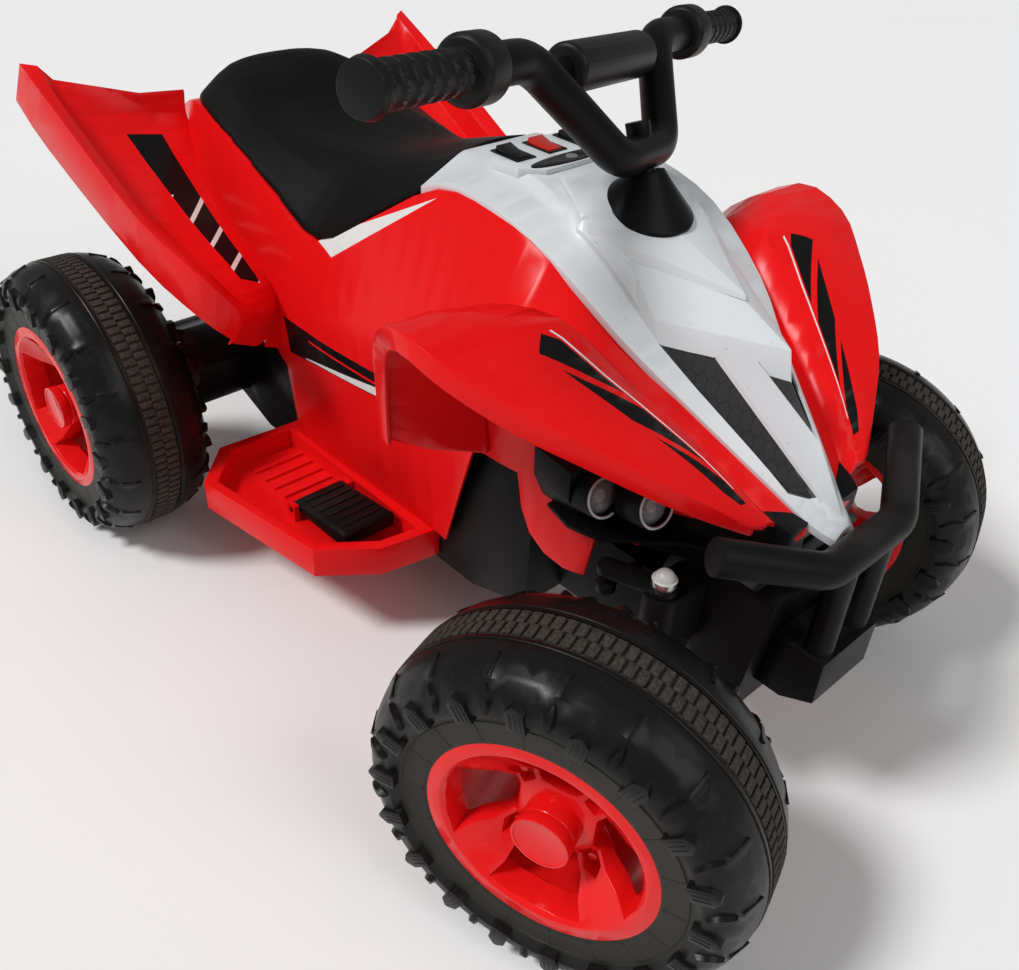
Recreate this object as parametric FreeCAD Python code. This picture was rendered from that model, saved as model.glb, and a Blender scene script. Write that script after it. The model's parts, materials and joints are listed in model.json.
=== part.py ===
"""Battery powered quad bike for small children, modelled as the pieces that it comes apart into.

Millimetres. +X points forward, +Y to the rider's left and +Z up. The origin lies on the ground
under the middle of the bike. The steering is at rest in a left turn, as photographed.
"""
import FreeCAD
import Part
import math
import os

from FreeCAD import Vector

os.makedirs("parts", exist_ok=True)

# Driving sizes: the whole bike
wheelbase = 645.0
rear_axle_x = -349.0
tail_overhang = 75.0
nose_overhang = 100.0
body_half_width = 240.0
body_height = 480.0
rest_steer_deg = 18.5
overrun = 1.0
running_clearance = 0.05
rest_gap = 0.3
loft_steps = 3

# Driving sizes: wheels
tyre_radius = 147.0
tyre_half_width = 56.7
tread_half_width = 14.0
tread_depth = 4.0
rim_radius = 85.0
rim_half_width = 50.0
rim_wall = 4.0
rim_lip = 8.0
hub_radius = 26.0
hub_cap_radius = 21.0
hub_cap_length = 16.0
hub_cap_wall = 3.0
spoke_count = 4
spoke_plate = 5.0
lug_count = 18
lug_height = 3.0
lug_width = 13.0
bar_lug_width = 4.0
rear_wheel_side = 242.7
stub_length = 140.5
axle_radius = 6.0
axle_nut_radius = 10.0
axle_nut_length = 7.0
lug_screw_radius = 3.5
lug_boss_radius = 6.0

# Driving sizes: front axle and steering linkage
king_pin_side = 90.0
king_pin_rise = 85.0
king_pin_bend = 18.0
arm_length = 45.0
arm_half_width = 9.0
arm_plate = 6.0
arm_pin_radius = 3.0
tie_rod_radius = 4.0
tie_rod_drop = 15.0
tie_eye_radius = 8.0
tie_slot_clearance = 2.0
tie_slot_reach = 4.0
column_setback = 51.8
column_rise = 93.0
column_tilt_deg = 20.0
column_radius = 8.0
crank_pin_length = 24.0
boss_radius = 15.0
carrier_half_width = 55.0
collar_radius = 14.0
collar_start = 32.0
collar_length = 24.0

# Driving sizes: handlebar
bar_radius = 13.5
bar_base_rise = 275.0
bar_rise = 63.0
bar_setback = 47.0
bar_base_half = 38.0
bar_arm_side = 104.0
bar_bend = 34.0
bar_shoulder_side = 158.0
bar_half_width = 280.0
grip_core_radius = 8.5
grip_radius = 12.0
grip_flange_radius = 16.5
grip_collar_radius = 21.0
grip_collar_length = 26.0
grip_flange_length = 6.0
grip_rib_count = 7
grip_rib_height = 1.6
crossbar_radius = 7.0
crossbar_drop = 8.0
pad_radius = 17.0
pad_half_length = 62.0
boot_radius = 35.0
boot_neck_radius = 15.0
boot_length = 24.0
boot_lip = 4.0
boot_tilt_deg = 15.0
bolt_radius = 9.0
bolt_height = 12.0

# Driving sizes: shells, chassis and footrests
shell_wall = 3.0
fender_wall = 3.5
hood_wall = 6.0
island_rise = 7.0
brow_rise = 4.0
chassis_half_width = 84.0
chassis_wall = 4.0
chassis_floor_z = 80.0
chassis_top_z = 240.0
beam_half_width = 40.0
footrest_depth = 32.0
footrest_rim = 11.0
footrest_floor = 5.0
footrest_rib = 6.0
seat_skirt = 8.0

# Driving sizes: drive, power and controls
gearbox_radius = 48.0
gearbox_motor_radius = 24.0
gearbox_width = 70.0
motor_radius = 18.0
motor_length = 62.0
motor_forward = 50.0
motor_up = 44.0
battery_length = 151.0
battery_width = 66.0
battery_height = 94.0
box_length = 92.0
box_width = 64.0
box_height = 30.0
speaker_radius = 32.0
speaker_depth = 24.0
loom_radius = 3.0
pedal_length = 88.0
pedal_width = 58.0
pedal_height = 20.0
pedal_heel_height = 9.0
pedal_pin_radius = 3.0
pedal_lug = 6.0
rocker_length = 24.0
rocker_width = 15.0
rocker_height = 7.0
rocker_tilt_deg = 9.0
rocker_spacing = 34.0
rocker_clearance = 1.2
rocker_pin_radius = 1.5
rocker_pin_length = 2.0
button_radius = 5.0
button_travel = 1.5
button_height = 5.0
dash_length = 60.0
dash_half_width = 52.0
dash_rise = 4.0
lens_radius = 13.5
lens_depth = 6.0
lens_dome = 5.0
cup_radius = 17.0
cup_length = 34.0
lamp_radius = 5.0
lamp_length = 9.0
screw_head_radius = 5.0
screw_head_height = 3.0
screw_radius = 2.2
screw_length = 14.0

# Places that follow from the driving sizes
front_axle_x = rear_axle_x + wheelbase
body_tail_x = rear_axle_x - tail_overhang
body_length = tail_overhang + wheelbase + nose_overhang
axle_z = tyre_radius
arm_z = axle_z + king_pin_rise - arm_plate
tie_rod_z = arm_z - tie_rod_drop
rest_steer = math.radians(rest_steer_deg)
column_tilt = math.radians(column_tilt_deg)
column_foot = Vector(front_axle_x - column_setback, 0, axle_z + column_rise)
column_axis = Vector(-math.sin(column_tilt), 0, math.cos(column_tilt))
column_rear = Vector(-math.cos(column_tilt), 0, -math.sin(column_tilt))
up = Vector(0, 0, 1)
side = Vector(0, 1, 0)
forward = Vector(1, 0, 0)
origin = Vector(0, 0, 0)


def place(along_share, side_share, up_share):
    """Point of the body, as shares of its length, half width and height."""
    x = body_tail_x + along_share * body_length
    return Vector(x, side_share * body_half_width, up_share * body_height)


def polygon(points):
    """Closed wire of straight edges."""
    return Part.makePolygon(list(points) + [points[0]])


def side_prism(outline, low, high):
    """Solid from an outline of (x, z) points, between two places along Y."""
    wire = polygon([Vector(x, low, z) for x, z in outline])
    return Part.Face(wire).extrude(Vector(0, high - low, 0))


def plan_prism(outline, low, high):
    """Solid from an outline of (x, y) points, between two heights."""
    wire = polygon([Vector(x, y, low) for x, y in outline])
    return Part.Face(wire).extrude(Vector(0, 0, high - low))


def block(low, high):
    """Box between two corners."""
    size = high - low
    return Part.makeBox(size.x, size.y, size.z, low)


def rod(start, end, radius):
    """Round bar between two points."""
    run = end - start
    return Part.makeCylinder(radius, run.Length, start, run)


def turned(profile):
    """Solid turned about the Y axis from (along, radius) points."""
    face = Part.Face(polygon([Vector(radius, along, 0) for along, radius in profile]))
    return face.revolve(origin, side, 360)


def bent_bar(points, radius, bend):
    """Round bar along straight runs joined by tangent arcs."""
    edges = []
    start = points[0]
    for before, corner, after in zip(points, points[1:], points[2:]):
        back = (before - corner).normalize()
        ahead = (after - corner).normalize()
        half_turn = (math.pi - back.getAngle(ahead)) / 2
        reach = bend * math.tan(half_turn)
        middle = (back + ahead).normalize()
        apex = corner + middle * (bend / math.cos(half_turn) - bend)
        edges.append(Part.LineSegment(start, corner + back * reach).toShape())
        edges.append(Part.Arc(corner + back * reach, apex, corner + ahead * reach).toShape())
        start = corner + ahead * reach
    edges.append(Part.LineSegment(start, points[-1]).toShape())
    ring = Part.Wire([Part.Circle(points[0], points[1] - points[0], radius).toShape()])
    return Part.Wire(edges).makePipeShell([ring], True, False)


def mirrored(shape):
    """The same piece on the other side of the bike."""
    return shape.mirror(origin, side)


def moved(shape, offset):
    """Copy of a shape, moved."""
    copy = shape.copy()
    copy.translate(offset)
    return copy


def rotated(shape, centre, axis, degrees):
    """Copy of a shape, turned about an axis."""
    copy = shape.copy()
    copy.rotate(centre, axis, degrees)
    return copy


def save(name, shape):
    """Write one piece."""
    shape.exportStep("parts/" + name + ".step")


def spread(rows):
    """Rows of points with further rows between them, on smooth curves through the given ones."""
    filled = []
    for index in range(len(rows) - 1):
        before = rows[max(index - 1, 0)]
        after = rows[min(index + 2, len(rows) - 1)]
        for step in range(loft_steps):
            t = step / loft_steps
            row = []
            for a, b, c, d in zip(before, rows[index], rows[index + 1], after):
                bend = (a * 2 - b * 5 + c * 4 - d) * t ** 2 + (b * 3 - a - c * 3 + d) * t ** 3
                row.append(b + ((c - a) * t + bend) * 0.5)
            filled.append(row)
    return filled + [rows[-1]]


def loft(rows):
    """Solid skinned over closed rows of points."""
    return Part.makeLoft([polygon(row) for row in spread(rows)], True, True)


# Upper body: red shell of tank flanks, tail and nose, open below
# Each row: place along the body, then hem, lower flank, flank, shoulder and crown as (side, up)
body_section_shares = [
    (0.012, (0.250, 0.246), (0.275, 0.719), (0.333, 0.781), (0.292, 0.844), (0.000, 0.844)),
    (0.098, (0.367, 0.246), (0.383, 0.625), (0.433, 0.771), (0.383, 0.894), (0.000, 0.896)),
    (0.195, (0.396, 0.246), (0.433, 0.562), (0.475, 0.719), (0.446, 0.875), (0.000, 0.858)),
    (0.305, (0.400, 0.246), (0.442, 0.500), (0.492, 0.667), (0.475, 0.812), (0.000, 0.817)),
    (0.383, (0.396, 0.246), (0.442, 0.479), (0.500, 0.625), (0.483, 0.769), (0.000, 0.802)),
    (0.463, (0.388, 0.246), (0.442, 0.479), (0.508, 0.667), (0.433, 0.850), (0.000, 0.885)),
    (0.549, (0.379, 0.246), (0.442, 0.500), (0.508, 0.729), (0.375, 0.942), (0.000, 0.942)),
    (0.634, (0.396, 0.246), (0.458, 0.625), (0.508, 0.802), (0.383, 0.950), (0.000, 0.950)),
    (0.707, (0.396, 0.246), (0.467, 0.688), (0.525, 0.838), (0.383, 0.917), (0.000, 0.927)),
    (0.805, (0.375, 0.246), (0.383, 0.688), (0.408, 0.779), (0.300, 0.802), (0.000, 0.817)),
    (0.890, (0.250, 0.246), (0.258, 0.635), (0.300, 0.688), (0.200, 0.696), (0.000, 0.719)),
    (0.957, (0.117, 0.246), (0.125, 0.583), (0.150, 0.604), (0.096, 0.613), (0.000, 0.635)),
]
body_hem_share = 0.246
# Lower edge of the body, from the tail to the nose, as (along, up)
body_edge_shares = [
    (-0.050, 0.760), (0.012, 0.729), (0.098, 0.662), (0.207, 0.521), (0.278, 0.417), (0.283, 0.246),
    (0.574, 0.246), (0.637, 0.537), (0.702, 0.546), (0.707, 0.475), (0.718, 0.428), (0.738, 0.402),
    (0.762, 0.394), (0.786, 0.402), (0.796, 0.506), (0.884, 0.512), (0.909, 0.594), (1.050, 0.575),
]


def body_row(row, inset, drop):
    """Section of the body, drawn in by a wall and lengthened below by a drop."""
    hem, low, flank, shoulder, crown = [place(row[0], *pair) for pair in row[1:]]
    hem = hem - Vector(0, inset, drop)
    half = [hem, low - side * inset, flank - side * inset, shoulder - Vector(0, inset, inset)]
    crown = crown - up * inset
    other = [Vector(p.x, -p.y, p.z) for p in reversed(half)]
    return half + [crown] + other


body_outer = loft([body_row(row, 0, 0) for row in body_section_shares])
inner_rows = [body_row(row, shell_wall, shell_wall) for row in body_section_shares]
inner_rows[0] = [p + forward * shell_wall for p in inner_rows[0]]
inner_rows[-1] = [p - forward * shell_wall for p in inner_rows[-1]]
body_inner = loft(inner_rows)
edge_points = [place(along, 0, height) for along, height in body_edge_shares]
under_outline = [(p.x, p.z) for p in edge_points]
under_outline += [(edge_points[-1].x, -overrun), (edge_points[0].x, -overrun)]
under_cut = side_prism(under_outline, -body_half_width, body_half_width)
body_solid = body_outer.cut(under_cut)
body_shell = body_solid.cut(body_inner)
column_hole = rod(column_foot, column_foot + column_axis * body_height, boot_neck_radius)
body_shell = body_shell.cut(column_hole)

# Hood cover: white moulding over the nose, with a raised island round the steering and a brow in front
# Each row: place along the body, then spine, inner crease, outer crease and edge as (side, up)
hood_section_shares = [
    (0.518, (0.000, 0.971), (0.167, 0.971), (0.192, 0.967), (0.350, 0.929)),
    (0.573, (0.000, 0.979), (0.183, 0.979), (0.217, 0.973), (0.367, 0.963)),
    (0.634, (0.000, 0.983), (0.200, 0.983), (0.233, 0.967), (0.383, 0.958)),
    (0.707, (0.000, 0.965), (0.233, 0.950), (0.275, 0.933), (0.383, 0.923)),
    (0.783, (0.000, 0.883), (0.183, 0.867), (0.225, 0.850), (0.342, 0.842)),
    (0.838, (0.000, 0.804), (0.100, 0.794), (0.142, 0.785), (0.263, 0.769)),
    (0.915, (0.000, 0.717), (0.067, 0.706), (0.083, 0.694), (0.154, 0.673)),
    (0.957, (0.000, 0.654), (0.042, 0.648), (0.058, 0.635), (0.092, 0.619)),
    (0.980, (0.000, 0.613), (0.021, 0.610), (0.033, 0.604), (0.050, 0.598)),
]
# Plan outlines of the raised island and of the brow, right half, as (along, side)
island_plan_shares = [(0.645, 0.000), (0.645, 0.150), (0.700, 0.240), (0.786, 0.000)]
brow_plan_shares = [(0.700, 0.000), (0.700, 0.260), (0.775, 0.235), (0.822, 0.120), (0.838, 0.000)]


def hood_row(row, lift):
    """Section of the hood cover, with its thickness."""
    half = [place(row[0], *pair) + up * lift for pair in reversed(row[1:])]
    other = [Vector(p.x, -p.y, p.z) for p in reversed(half[:-1])]
    top = half + other
    return top + [p - up * hood_wall for p in reversed(top)]


def plan_both(shares):
    """Plan outline of both halves, from the right half."""
    half = [place(along, across, 0) for along, across in shares]
    other = [Vector(p.x, -p.y, 0) for p in reversed(half) if p.y > 0]
    return [(p.x, p.y) for p in half + other]


hood_base = loft([hood_row(row, 0) for row in hood_section_shares])
hood = hood_base
for plan_shares, rise in ((island_plan_shares, island_rise), (brow_plan_shares, brow_rise)):
    raised = moved(hood_base, up * rise)
    hood = hood.fuse(raised.common(plan_prism(plan_both(plan_shares), 0, 2 * body_height)))
hood_plain = hood.cut(body_outer)
hood_lining = moved(hood_base, -up * hood_wall)
hood = hood_plain.cut(column_hole)

# Saddle: black moulding with a dished centre, seated on the body
# Each row: place along the body, then centre, crease and edge as (side, up)
seat_section_shares = [
    (0.076, (0.000, 0.929), (0.158, 0.921), (0.292, 0.892)),
    (0.104, (0.000, 0.971), (0.217, 0.960), (0.375, 0.908)),
    (0.152, (0.000, 0.948), (0.250, 0.954), (0.425, 0.904)),
    (0.217, (0.000, 0.894), (0.275, 0.910), (0.450, 0.871)),
    (0.305, (0.000, 0.883), (0.275, 0.892), (0.467, 0.823)),
    (0.383, (0.000, 0.902), (0.258, 0.887), (0.475, 0.779)),
    (0.445, (0.000, 0.938), (0.233, 0.917), (0.433, 0.840)),
    (0.515, (0.000, 0.975), (0.192, 0.963), (0.333, 0.923)),
]


def seat_row(row):
    """Section of the saddle: a rounded top, short skirts and a flat base."""
    edge, crease, centre = [place(row[0], *pair) for pair in reversed(row[1:])]
    flat = [Vector(p.x, -p.y, p.z) for p in (crease, edge)]
    top = [pair[0] for pair in spread([[p] for p in [edge, crease, centre] + flat])]
    return top + [flat[1] - up * seat_skirt, edge - up * seat_skirt]


seat = loft([seat_row(row) for row in seat_section_shares]).cut(body_outer).cut(hood)

# Front fenders: wings with a rolled edge, which turn down behind the wheel as mudguard flaps
# Each row, from the flap to the tip: root, ridge, crown, edge and lip as (along, side, up)
front_fender_shares = [
    [(0.654, 0.383, 0.546), (0.659, 0.467, 0.554), (0.628, 0.625, 0.567),
     (0.601, 0.750, 0.588), (0.616, 0.758, 0.588)],
    [(0.651, 0.392, 0.679), (0.656, 0.483, 0.688), (0.627, 0.675, 0.698),
     (0.612, 0.792, 0.708), (0.629, 0.796, 0.704)],
    [(0.668, 0.408, 0.800), (0.671, 0.517, 0.817), (0.646, 0.708, 0.821),
     (0.637, 0.854, 0.817), (0.654, 0.858, 0.796)],
    [(0.695, 0.417, 0.829), (0.695, 0.575, 0.871), (0.693, 0.771, 0.887),
     (0.699, 0.942, 0.892), (0.707, 0.950, 0.863)],
    [(0.752, 0.383, 0.825), (0.752, 0.492, 0.875), (0.754, 0.717, 0.885),
     (0.759, 0.925, 0.875), (0.759, 0.933, 0.842)],
    [(0.805, 0.317, 0.767), (0.805, 0.425, 0.817), (0.805, 0.633, 0.835),
     (0.807, 0.825, 0.829), (0.807, 0.833, 0.796)],
    [(0.845, 0.275, 0.725), (0.845, 0.371, 0.773), (0.846, 0.542, 0.787),
     (0.850, 0.700, 0.787), (0.850, 0.708, 0.754)],
    [(0.887, 0.225, 0.679), (0.887, 0.312, 0.723), (0.888, 0.450, 0.735),
     (0.890, 0.567, 0.740), (0.890, 0.575, 0.710)],
    [(0.920, 0.183, 0.637), (0.920, 0.267, 0.675), (0.921, 0.350, 0.683),
     (0.917, 0.433, 0.694), (0.917, 0.438, 0.667)],
    [(0.943, 0.158, 0.617), (0.943, 0.233, 0.642), (0.944, 0.271, 0.644),
     (0.940, 0.308, 0.646), (0.940, 0.308, 0.631)],
]
front_fender_facing_deg = [0, 5, 35, 75, 90, 90, 90, 90, 90, 90]
# Rear fenders, from the front wall to the tail: root, floor, floor edge, rim, outer rim and wall foot
rear_fender_shares = [
    [(0.262, 0.405, 0.445), (0.268, 0.450, 0.458), (0.285, 0.600, 0.500),
     (0.300, 0.690, 0.530), (0.312, 0.745, 0.552), (0.313, 0.750, 0.548)],
    [(0.278, 0.400, 0.565), (0.285, 0.450, 0.573), (0.312, 0.600, 0.594),
     (0.330, 0.690, 0.618), (0.342, 0.735, 0.628), (0.322, 0.750, 0.566)],
    [(0.262, 0.408, 0.625), (0.268, 0.467, 0.630), (0.300, 0.765, 0.664),
     (0.316, 0.795, 0.708), (0.332, 0.850, 0.715), (0.315, 0.854, 0.623)],
    [(0.180, 0.408, 0.700), (0.183, 0.483, 0.704), (0.206, 0.825, 0.736),
     (0.220, 0.856, 0.776), (0.238, 0.912, 0.779), (0.217, 0.912, 0.685)],
    [(0.071, 0.375, 0.829), (0.067, 0.500, 0.834), (0.079, 0.846, 0.850),
     (0.085, 0.880, 0.892), (0.095, 0.933, 0.896), (0.034, 0.938, 0.817)],
    [(0.051, 0.350, 0.896), (0.048, 0.542, 0.902), (0.022, 0.846, 0.940),
     (0.012, 0.885, 0.965), (0.002, 0.938, 0.969), (-0.037, 0.938, 0.883)],
]
rear_fender_facing_deg = [165, 110, 75, 75, 80, 70]


def fender(rows, facings):
    """Thin wing through rows of outer points; each row's wall lies on the side that it faces."""
    loops = []
    for row, facing in zip(rows, facings):
        turn = math.radians(facing)
        inward = Vector(math.cos(turn), 0, -math.sin(turn)) * fender_wall
        outer = [place(*shares) for shares in row]
        inner = [p + inward for p in outer[:-2]]
        inner.append(outer[-2] + inward - side * fender_wall)
        inner.append(outer[-1] - side * fender_wall)
        loops.append(outer + list(reversed(inner)))
    loops = spread(loops)
    faces = Part.makeLoft([polygon(loop) for loop in loops], False, True).Faces
    for loop in (loops[0], loops[-1]):
        for index in range(len(loop) // 2 - 1):
            a, b, c, d = loop[index], loop[index + 1], loop[-index - 2], loop[-index - 1]
            faces.append(Part.Face(polygon([a, b, c])))
            faces.append(Part.Face(polygon([a, c, d])))
    shell = Part.makeShell(faces)
    shell.sewShape()
    return Part.Solid(shell)


left_front_fender = fender(front_fender_shares, front_fender_facing_deg).cut(body_outer).cut(hood)
left_rear_fender = fender(rear_fender_shares, rear_fender_facing_deg).cut(body_outer).cut(seat)

# Lower chassis: black tub with a beam to the front axle
chassis_tail_x = rear_axle_x - gearbox_radius
chassis_front_share = 0.700
chassis_front_x = body_tail_x + chassis_front_share * body_length
chassis_rise = chassis_wall * 6
chassis_outline = [
    (chassis_tail_x, axle_z - chassis_rise), (chassis_tail_x, axle_z + gearbox_radius),
    (rear_axle_x, chassis_top_z), (chassis_front_x, chassis_top_z),
    (chassis_front_x, chassis_floor_z + chassis_rise), (chassis_front_x - 3 * chassis_rise, chassis_floor_z),
    (rear_axle_x + 3 * chassis_rise, chassis_floor_z),
]
chassis_inner_outline = [
    (chassis_tail_x + chassis_wall, axle_z - chassis_rise),
    (chassis_tail_x + chassis_wall, axle_z + gearbox_radius),
    (rear_axle_x, chassis_top_z + overrun), (chassis_front_x - chassis_wall, chassis_top_z + overrun),
    (chassis_front_x - chassis_wall, chassis_floor_z + chassis_rise),
    (chassis_front_x - 3 * chassis_rise, chassis_floor_z + chassis_wall),
    (rear_axle_x + 3 * chassis_rise, chassis_floor_z + chassis_wall),
]
chassis_inner_half = chassis_half_width - chassis_wall
chassis = side_prism(chassis_outline, -chassis_half_width, chassis_half_width)
chassis = chassis.cut(side_prism(chassis_inner_outline, -chassis_inner_half, chassis_inner_half))
carrier_back_x = front_axle_x - arm_length + arm_half_width + tie_eye_radius
beam_low = Vector(chassis_front_x, -beam_half_width, chassis_floor_z + chassis_rise)
beam_high = Vector(carrier_back_x, beam_half_width, tie_rod_z - 3 * tie_eye_radius)
beam_hollow = Vector(0, chassis_wall, chassis_wall)
beam = block(beam_low, beam_high)
beam = beam.cut(block(beam_low + beam_hollow - up * 2 * chassis_wall, beam_high - beam_hollow))
chassis = chassis.fuse(beam)
axle_low = Vector(rear_axle_x, -2 * body_half_width, axle_z)
axle_high = Vector(rear_axle_x, 2 * body_half_width, axle_z)
axle_bore = rod(axle_low, axle_high, axle_radius + running_clearance)
motor_x = rear_axle_x + motor_forward
motor_z = axle_z + motor_up
motor_low = Vector(motor_x, -body_half_width, motor_z)
motor_high = Vector(motor_x, body_half_width, motor_z)
motor_bore = rod(motor_low, motor_high, motor_radius + rest_gap)
chassis = chassis.cut(axle_bore).cut(motor_bore)

# Footrests: red trays with a raised rim and ribs, beside the chassis
footrest_top = body_hem_share * body_height
footrest_low = footrest_top - footrest_depth
# Plan outline of the left footrest, as (along, side)
footrest_plan_shares = [
    (0.256, 0.392), (0.250, 0.740), (0.304, 0.920), (0.494, 0.820), (0.540, 0.610), (0.552, 0.380)]


def footrest_plan(shrink):
    """Plan outline of the footrest, drawn in by a margin on its outer sides."""
    points = [place(along, across, 0) for along, across in footrest_plan_shares]
    middle_x = (points[0].x + points[-1].x) / 2
    length = points[-1].x - points[0].x
    width = max(p.y for p in points) - chassis_half_width
    outline = []
    for p in points:
        x = middle_x + (p.x - middle_x) * (1 - 2 * shrink / length)
        y = chassis_half_width + (p.y - chassis_half_width) * (1 - shrink / width)
        outline.append((x, y))
    outline.append((outline[-1][0], chassis_half_width))
    outline.insert(0, (outline[0][0], chassis_half_width))
    return outline


footrest_floor_z = footrest_low + footrest_floor + footrest_rib
left_footrest = plan_prism(footrest_plan(0), footrest_low, footrest_top)
tray = plan_prism(footrest_plan(footrest_rim), footrest_floor_z, footrest_top + overrun)
body_foot_share = 0.400
body_foot_side = body_foot_share * body_half_width
land_low = Vector(body_tail_x, 0, footrest_low)
land_high = Vector(body_tail_x + body_length, body_foot_side + footrest_rib, footrest_top)
body_land = block(land_low, land_high)
left_footrest = left_footrest.cut(tray.cut(body_land))
hollow = plan_prism(footrest_plan(shell_wall), footrest_low - overrun, footrest_low + footrest_rib)
left_footrest = left_footrest.cut(hollow)
rib_shares = [0.290, 0.312, 0.334, 0.356]
for rib_share in rib_shares:
    rib_x = body_tail_x + rib_share * body_length
    rib_end = body_foot_side + footrest_rib + pedal_width
    rib = block(
        Vector(rib_x, body_foot_side + footrest_rib, footrest_floor_z),
        Vector(rib_x + footrest_rib, rib_end, footrest_floor_z + shell_wall))
    left_footrest = left_footrest.fuse(rib)
right_footrest = mirrored(left_footrest)

# Accelerator pedal: black wedge that tips forward on a pin between two lugs of the right footrest
pedal_heel_share = 0.396
pedal_heel_x = body_tail_x + pedal_heel_share * body_length
pedal_inner_y = -(body_foot_side + footrest_rib + pedal_lug + 2 * rest_gap)
pedal_outer_y = pedal_inner_y - pedal_width
pedal_base_z = footrest_floor_z + pedal_heel_height
pedal_pin_z = pedal_base_z + pedal_pin_radius
pedal_outline = [
    (pedal_heel_x, pedal_base_z), (pedal_heel_x + pedal_length, pedal_base_z + pedal_pin_radius),
    (pedal_heel_x + pedal_length, pedal_base_z + pedal_height),
    (pedal_heel_x, pedal_base_z + pedal_heel_height),
]
pedal = side_prism(pedal_outline, pedal_outer_y, pedal_inner_y)
pedal_top_z = pedal_base_z + pedal_pin_radius + overrun
pedal = pedal.makeChamfer(pedal_pin_radius, [e for e in pedal.Edges if e.BoundBox.ZMin > pedal_top_z])
pin_x = pedal_heel_x + 2 * pedal_pin_radius
pin_outer = Vector(pin_x, pedal_outer_y - pedal_lug, pedal_pin_z)
pin_inner = Vector(pin_x, pedal_inner_y + pedal_lug, pedal_pin_z)
pedal = pedal.fuse(rod(pin_outer, pin_inner, pedal_pin_radius))
lug_low = Vector(pin_x - 2 * pedal_pin_radius, pedal_inner_y + rest_gap, footrest_floor_z)
lug_top_z = pedal_pin_z + 2 * pedal_pin_radius
lug_high = Vector(pin_x + 2 * pedal_pin_radius, pedal_inner_y + pedal_lug, lug_top_z)
lug_bore_radius = pedal_pin_radius + running_clearance
lug_bore = rod(pin_outer - side * pedal_lug, pin_inner + side * pedal_lug, lug_bore_radius)
inner_lug = block(lug_low, lug_high)
outer_lug = moved(inner_lug, -side * (pedal_width + pedal_lug + rest_gap))
right_footrest = right_footrest.fuse([inner_lug, outer_lug]).cut(lug_bore)

# Front axle carrier: black block with king pin bosses and the lower bearing of the column
carrier_low_z = axle_z - 5 * axle_radius
carrier_front_x = front_axle_x + tyre_radius / 2
carrier_top_z = axle_z + king_pin_rise + column_radius * 3
carrier_outline = [
    (carrier_back_x, carrier_low_z + boss_radius), (carrier_back_x, arm_z - boss_radius),
    (front_axle_x - boss_radius, carrier_top_z), (front_axle_x + boss_radius, carrier_top_z),
    (carrier_front_x, carrier_top_z - boss_radius), (carrier_front_x - boss_radius, carrier_low_z),
    (carrier_back_x + boss_radius, carrier_low_z),
]
carrier = side_prism(carrier_outline, -carrier_half_width, carrier_half_width)
boss_low_z = axle_z + axle_radius + king_pin_bend
boss_high_z = arm_z - rest_gap
pin_clear = axle_radius + running_clearance
for sign in (-1, 1):
    pin_low = Vector(front_axle_x, sign * king_pin_side, boss_low_z)
    pin_high = Vector(front_axle_x, sign * king_pin_side, boss_high_z)
    web_low = Vector(front_axle_x - boss_radius, min(0, sign * king_pin_side), boss_low_z)
    web_high = Vector(front_axle_x + boss_radius, max(0, sign * king_pin_side), boss_high_z)
    carrier = carrier.fuse(block(web_low, web_high)).fuse(rod(pin_low, pin_high, boss_radius))
    carrier = carrier.cut(rod(pin_low - up * overrun, pin_high + up * overrun, pin_clear))
collar_low = column_foot + column_axis * collar_start
collar_high = column_foot + column_axis * (collar_start + collar_length)
collar_web_outline = [
    (collar_low.x, collar_low.z), (collar_high.x, collar_high.z),
    (front_axle_x, carrier_top_z), (front_axle_x, carrier_top_z - collar_length),
]
carrier = carrier.fuse(side_prism(collar_web_outline, -column_radius, column_radius))
carrier = carrier.fuse(rod(collar_low, collar_high, collar_radius))
column_clear = rod(column_foot, column_foot + column_axis * body_height, column_radius + running_clearance)
carrier = carrier.cut(column_clear)

# Knuckles: bent bars that are king pin and stub axle in one, with a steering arm, dome nut and axle nut
pin_top = Vector(front_axle_x, king_pin_side, arm_z + arm_plate + axle_radius)
pin_corner = Vector(front_axle_x, king_pin_side, axle_z)
front_wheel_side = king_pin_side + stub_length
hub_face = rim_half_width / 2
stub_end = Vector(front_axle_x, front_wheel_side + hub_face + axle_nut_length, axle_z)
knuckle = bent_bar([pin_top, pin_corner, stub_end], axle_radius, king_pin_bend)
pin_foot = Vector(front_axle_x, king_pin_side, boss_low_z - rest_gap)
knuckle = knuckle.fuse(rod(pin_foot - up * axle_radius, pin_foot, boss_radius - axle_radius / 2))
arm_base = Vector(front_axle_x, king_pin_side, arm_z)
arm_tip = arm_base - forward * arm_length
arm = rod(arm_base, arm_base + up * arm_plate, arm_half_width + arm_pin_radius)
arm = arm.fuse(rod(arm_tip, arm_tip + up * arm_plate, arm_half_width))
arm = arm.fuse(block(arm_tip - side * arm_half_width, arm_base + Vector(0, arm_half_width, arm_plate)))
arm_pin = rod(arm_tip, arm_tip - up * (tie_rod_drop + tie_rod_radius), arm_pin_radius)
knuckle = knuckle.fuse([arm, arm_pin])
nut_base = arm_base + up * arm_plate
king_nut = rod(nut_base, nut_base + up * axle_nut_length, axle_nut_radius)
king_nut = king_nut.fuse(Part.makeSphere(axle_nut_radius - axle_radius / 3, nut_base + up * axle_nut_length))
axle_nut_start = Vector(front_axle_x, front_wheel_side + hub_face + rest_gap, axle_z)
axle_nut = rod(axle_nut_start, axle_nut_start + side * axle_nut_length, axle_nut_radius)
left_nuts = Part.makeCompound([king_nut.cut(knuckle), axle_nut.cut(knuckle)])


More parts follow.
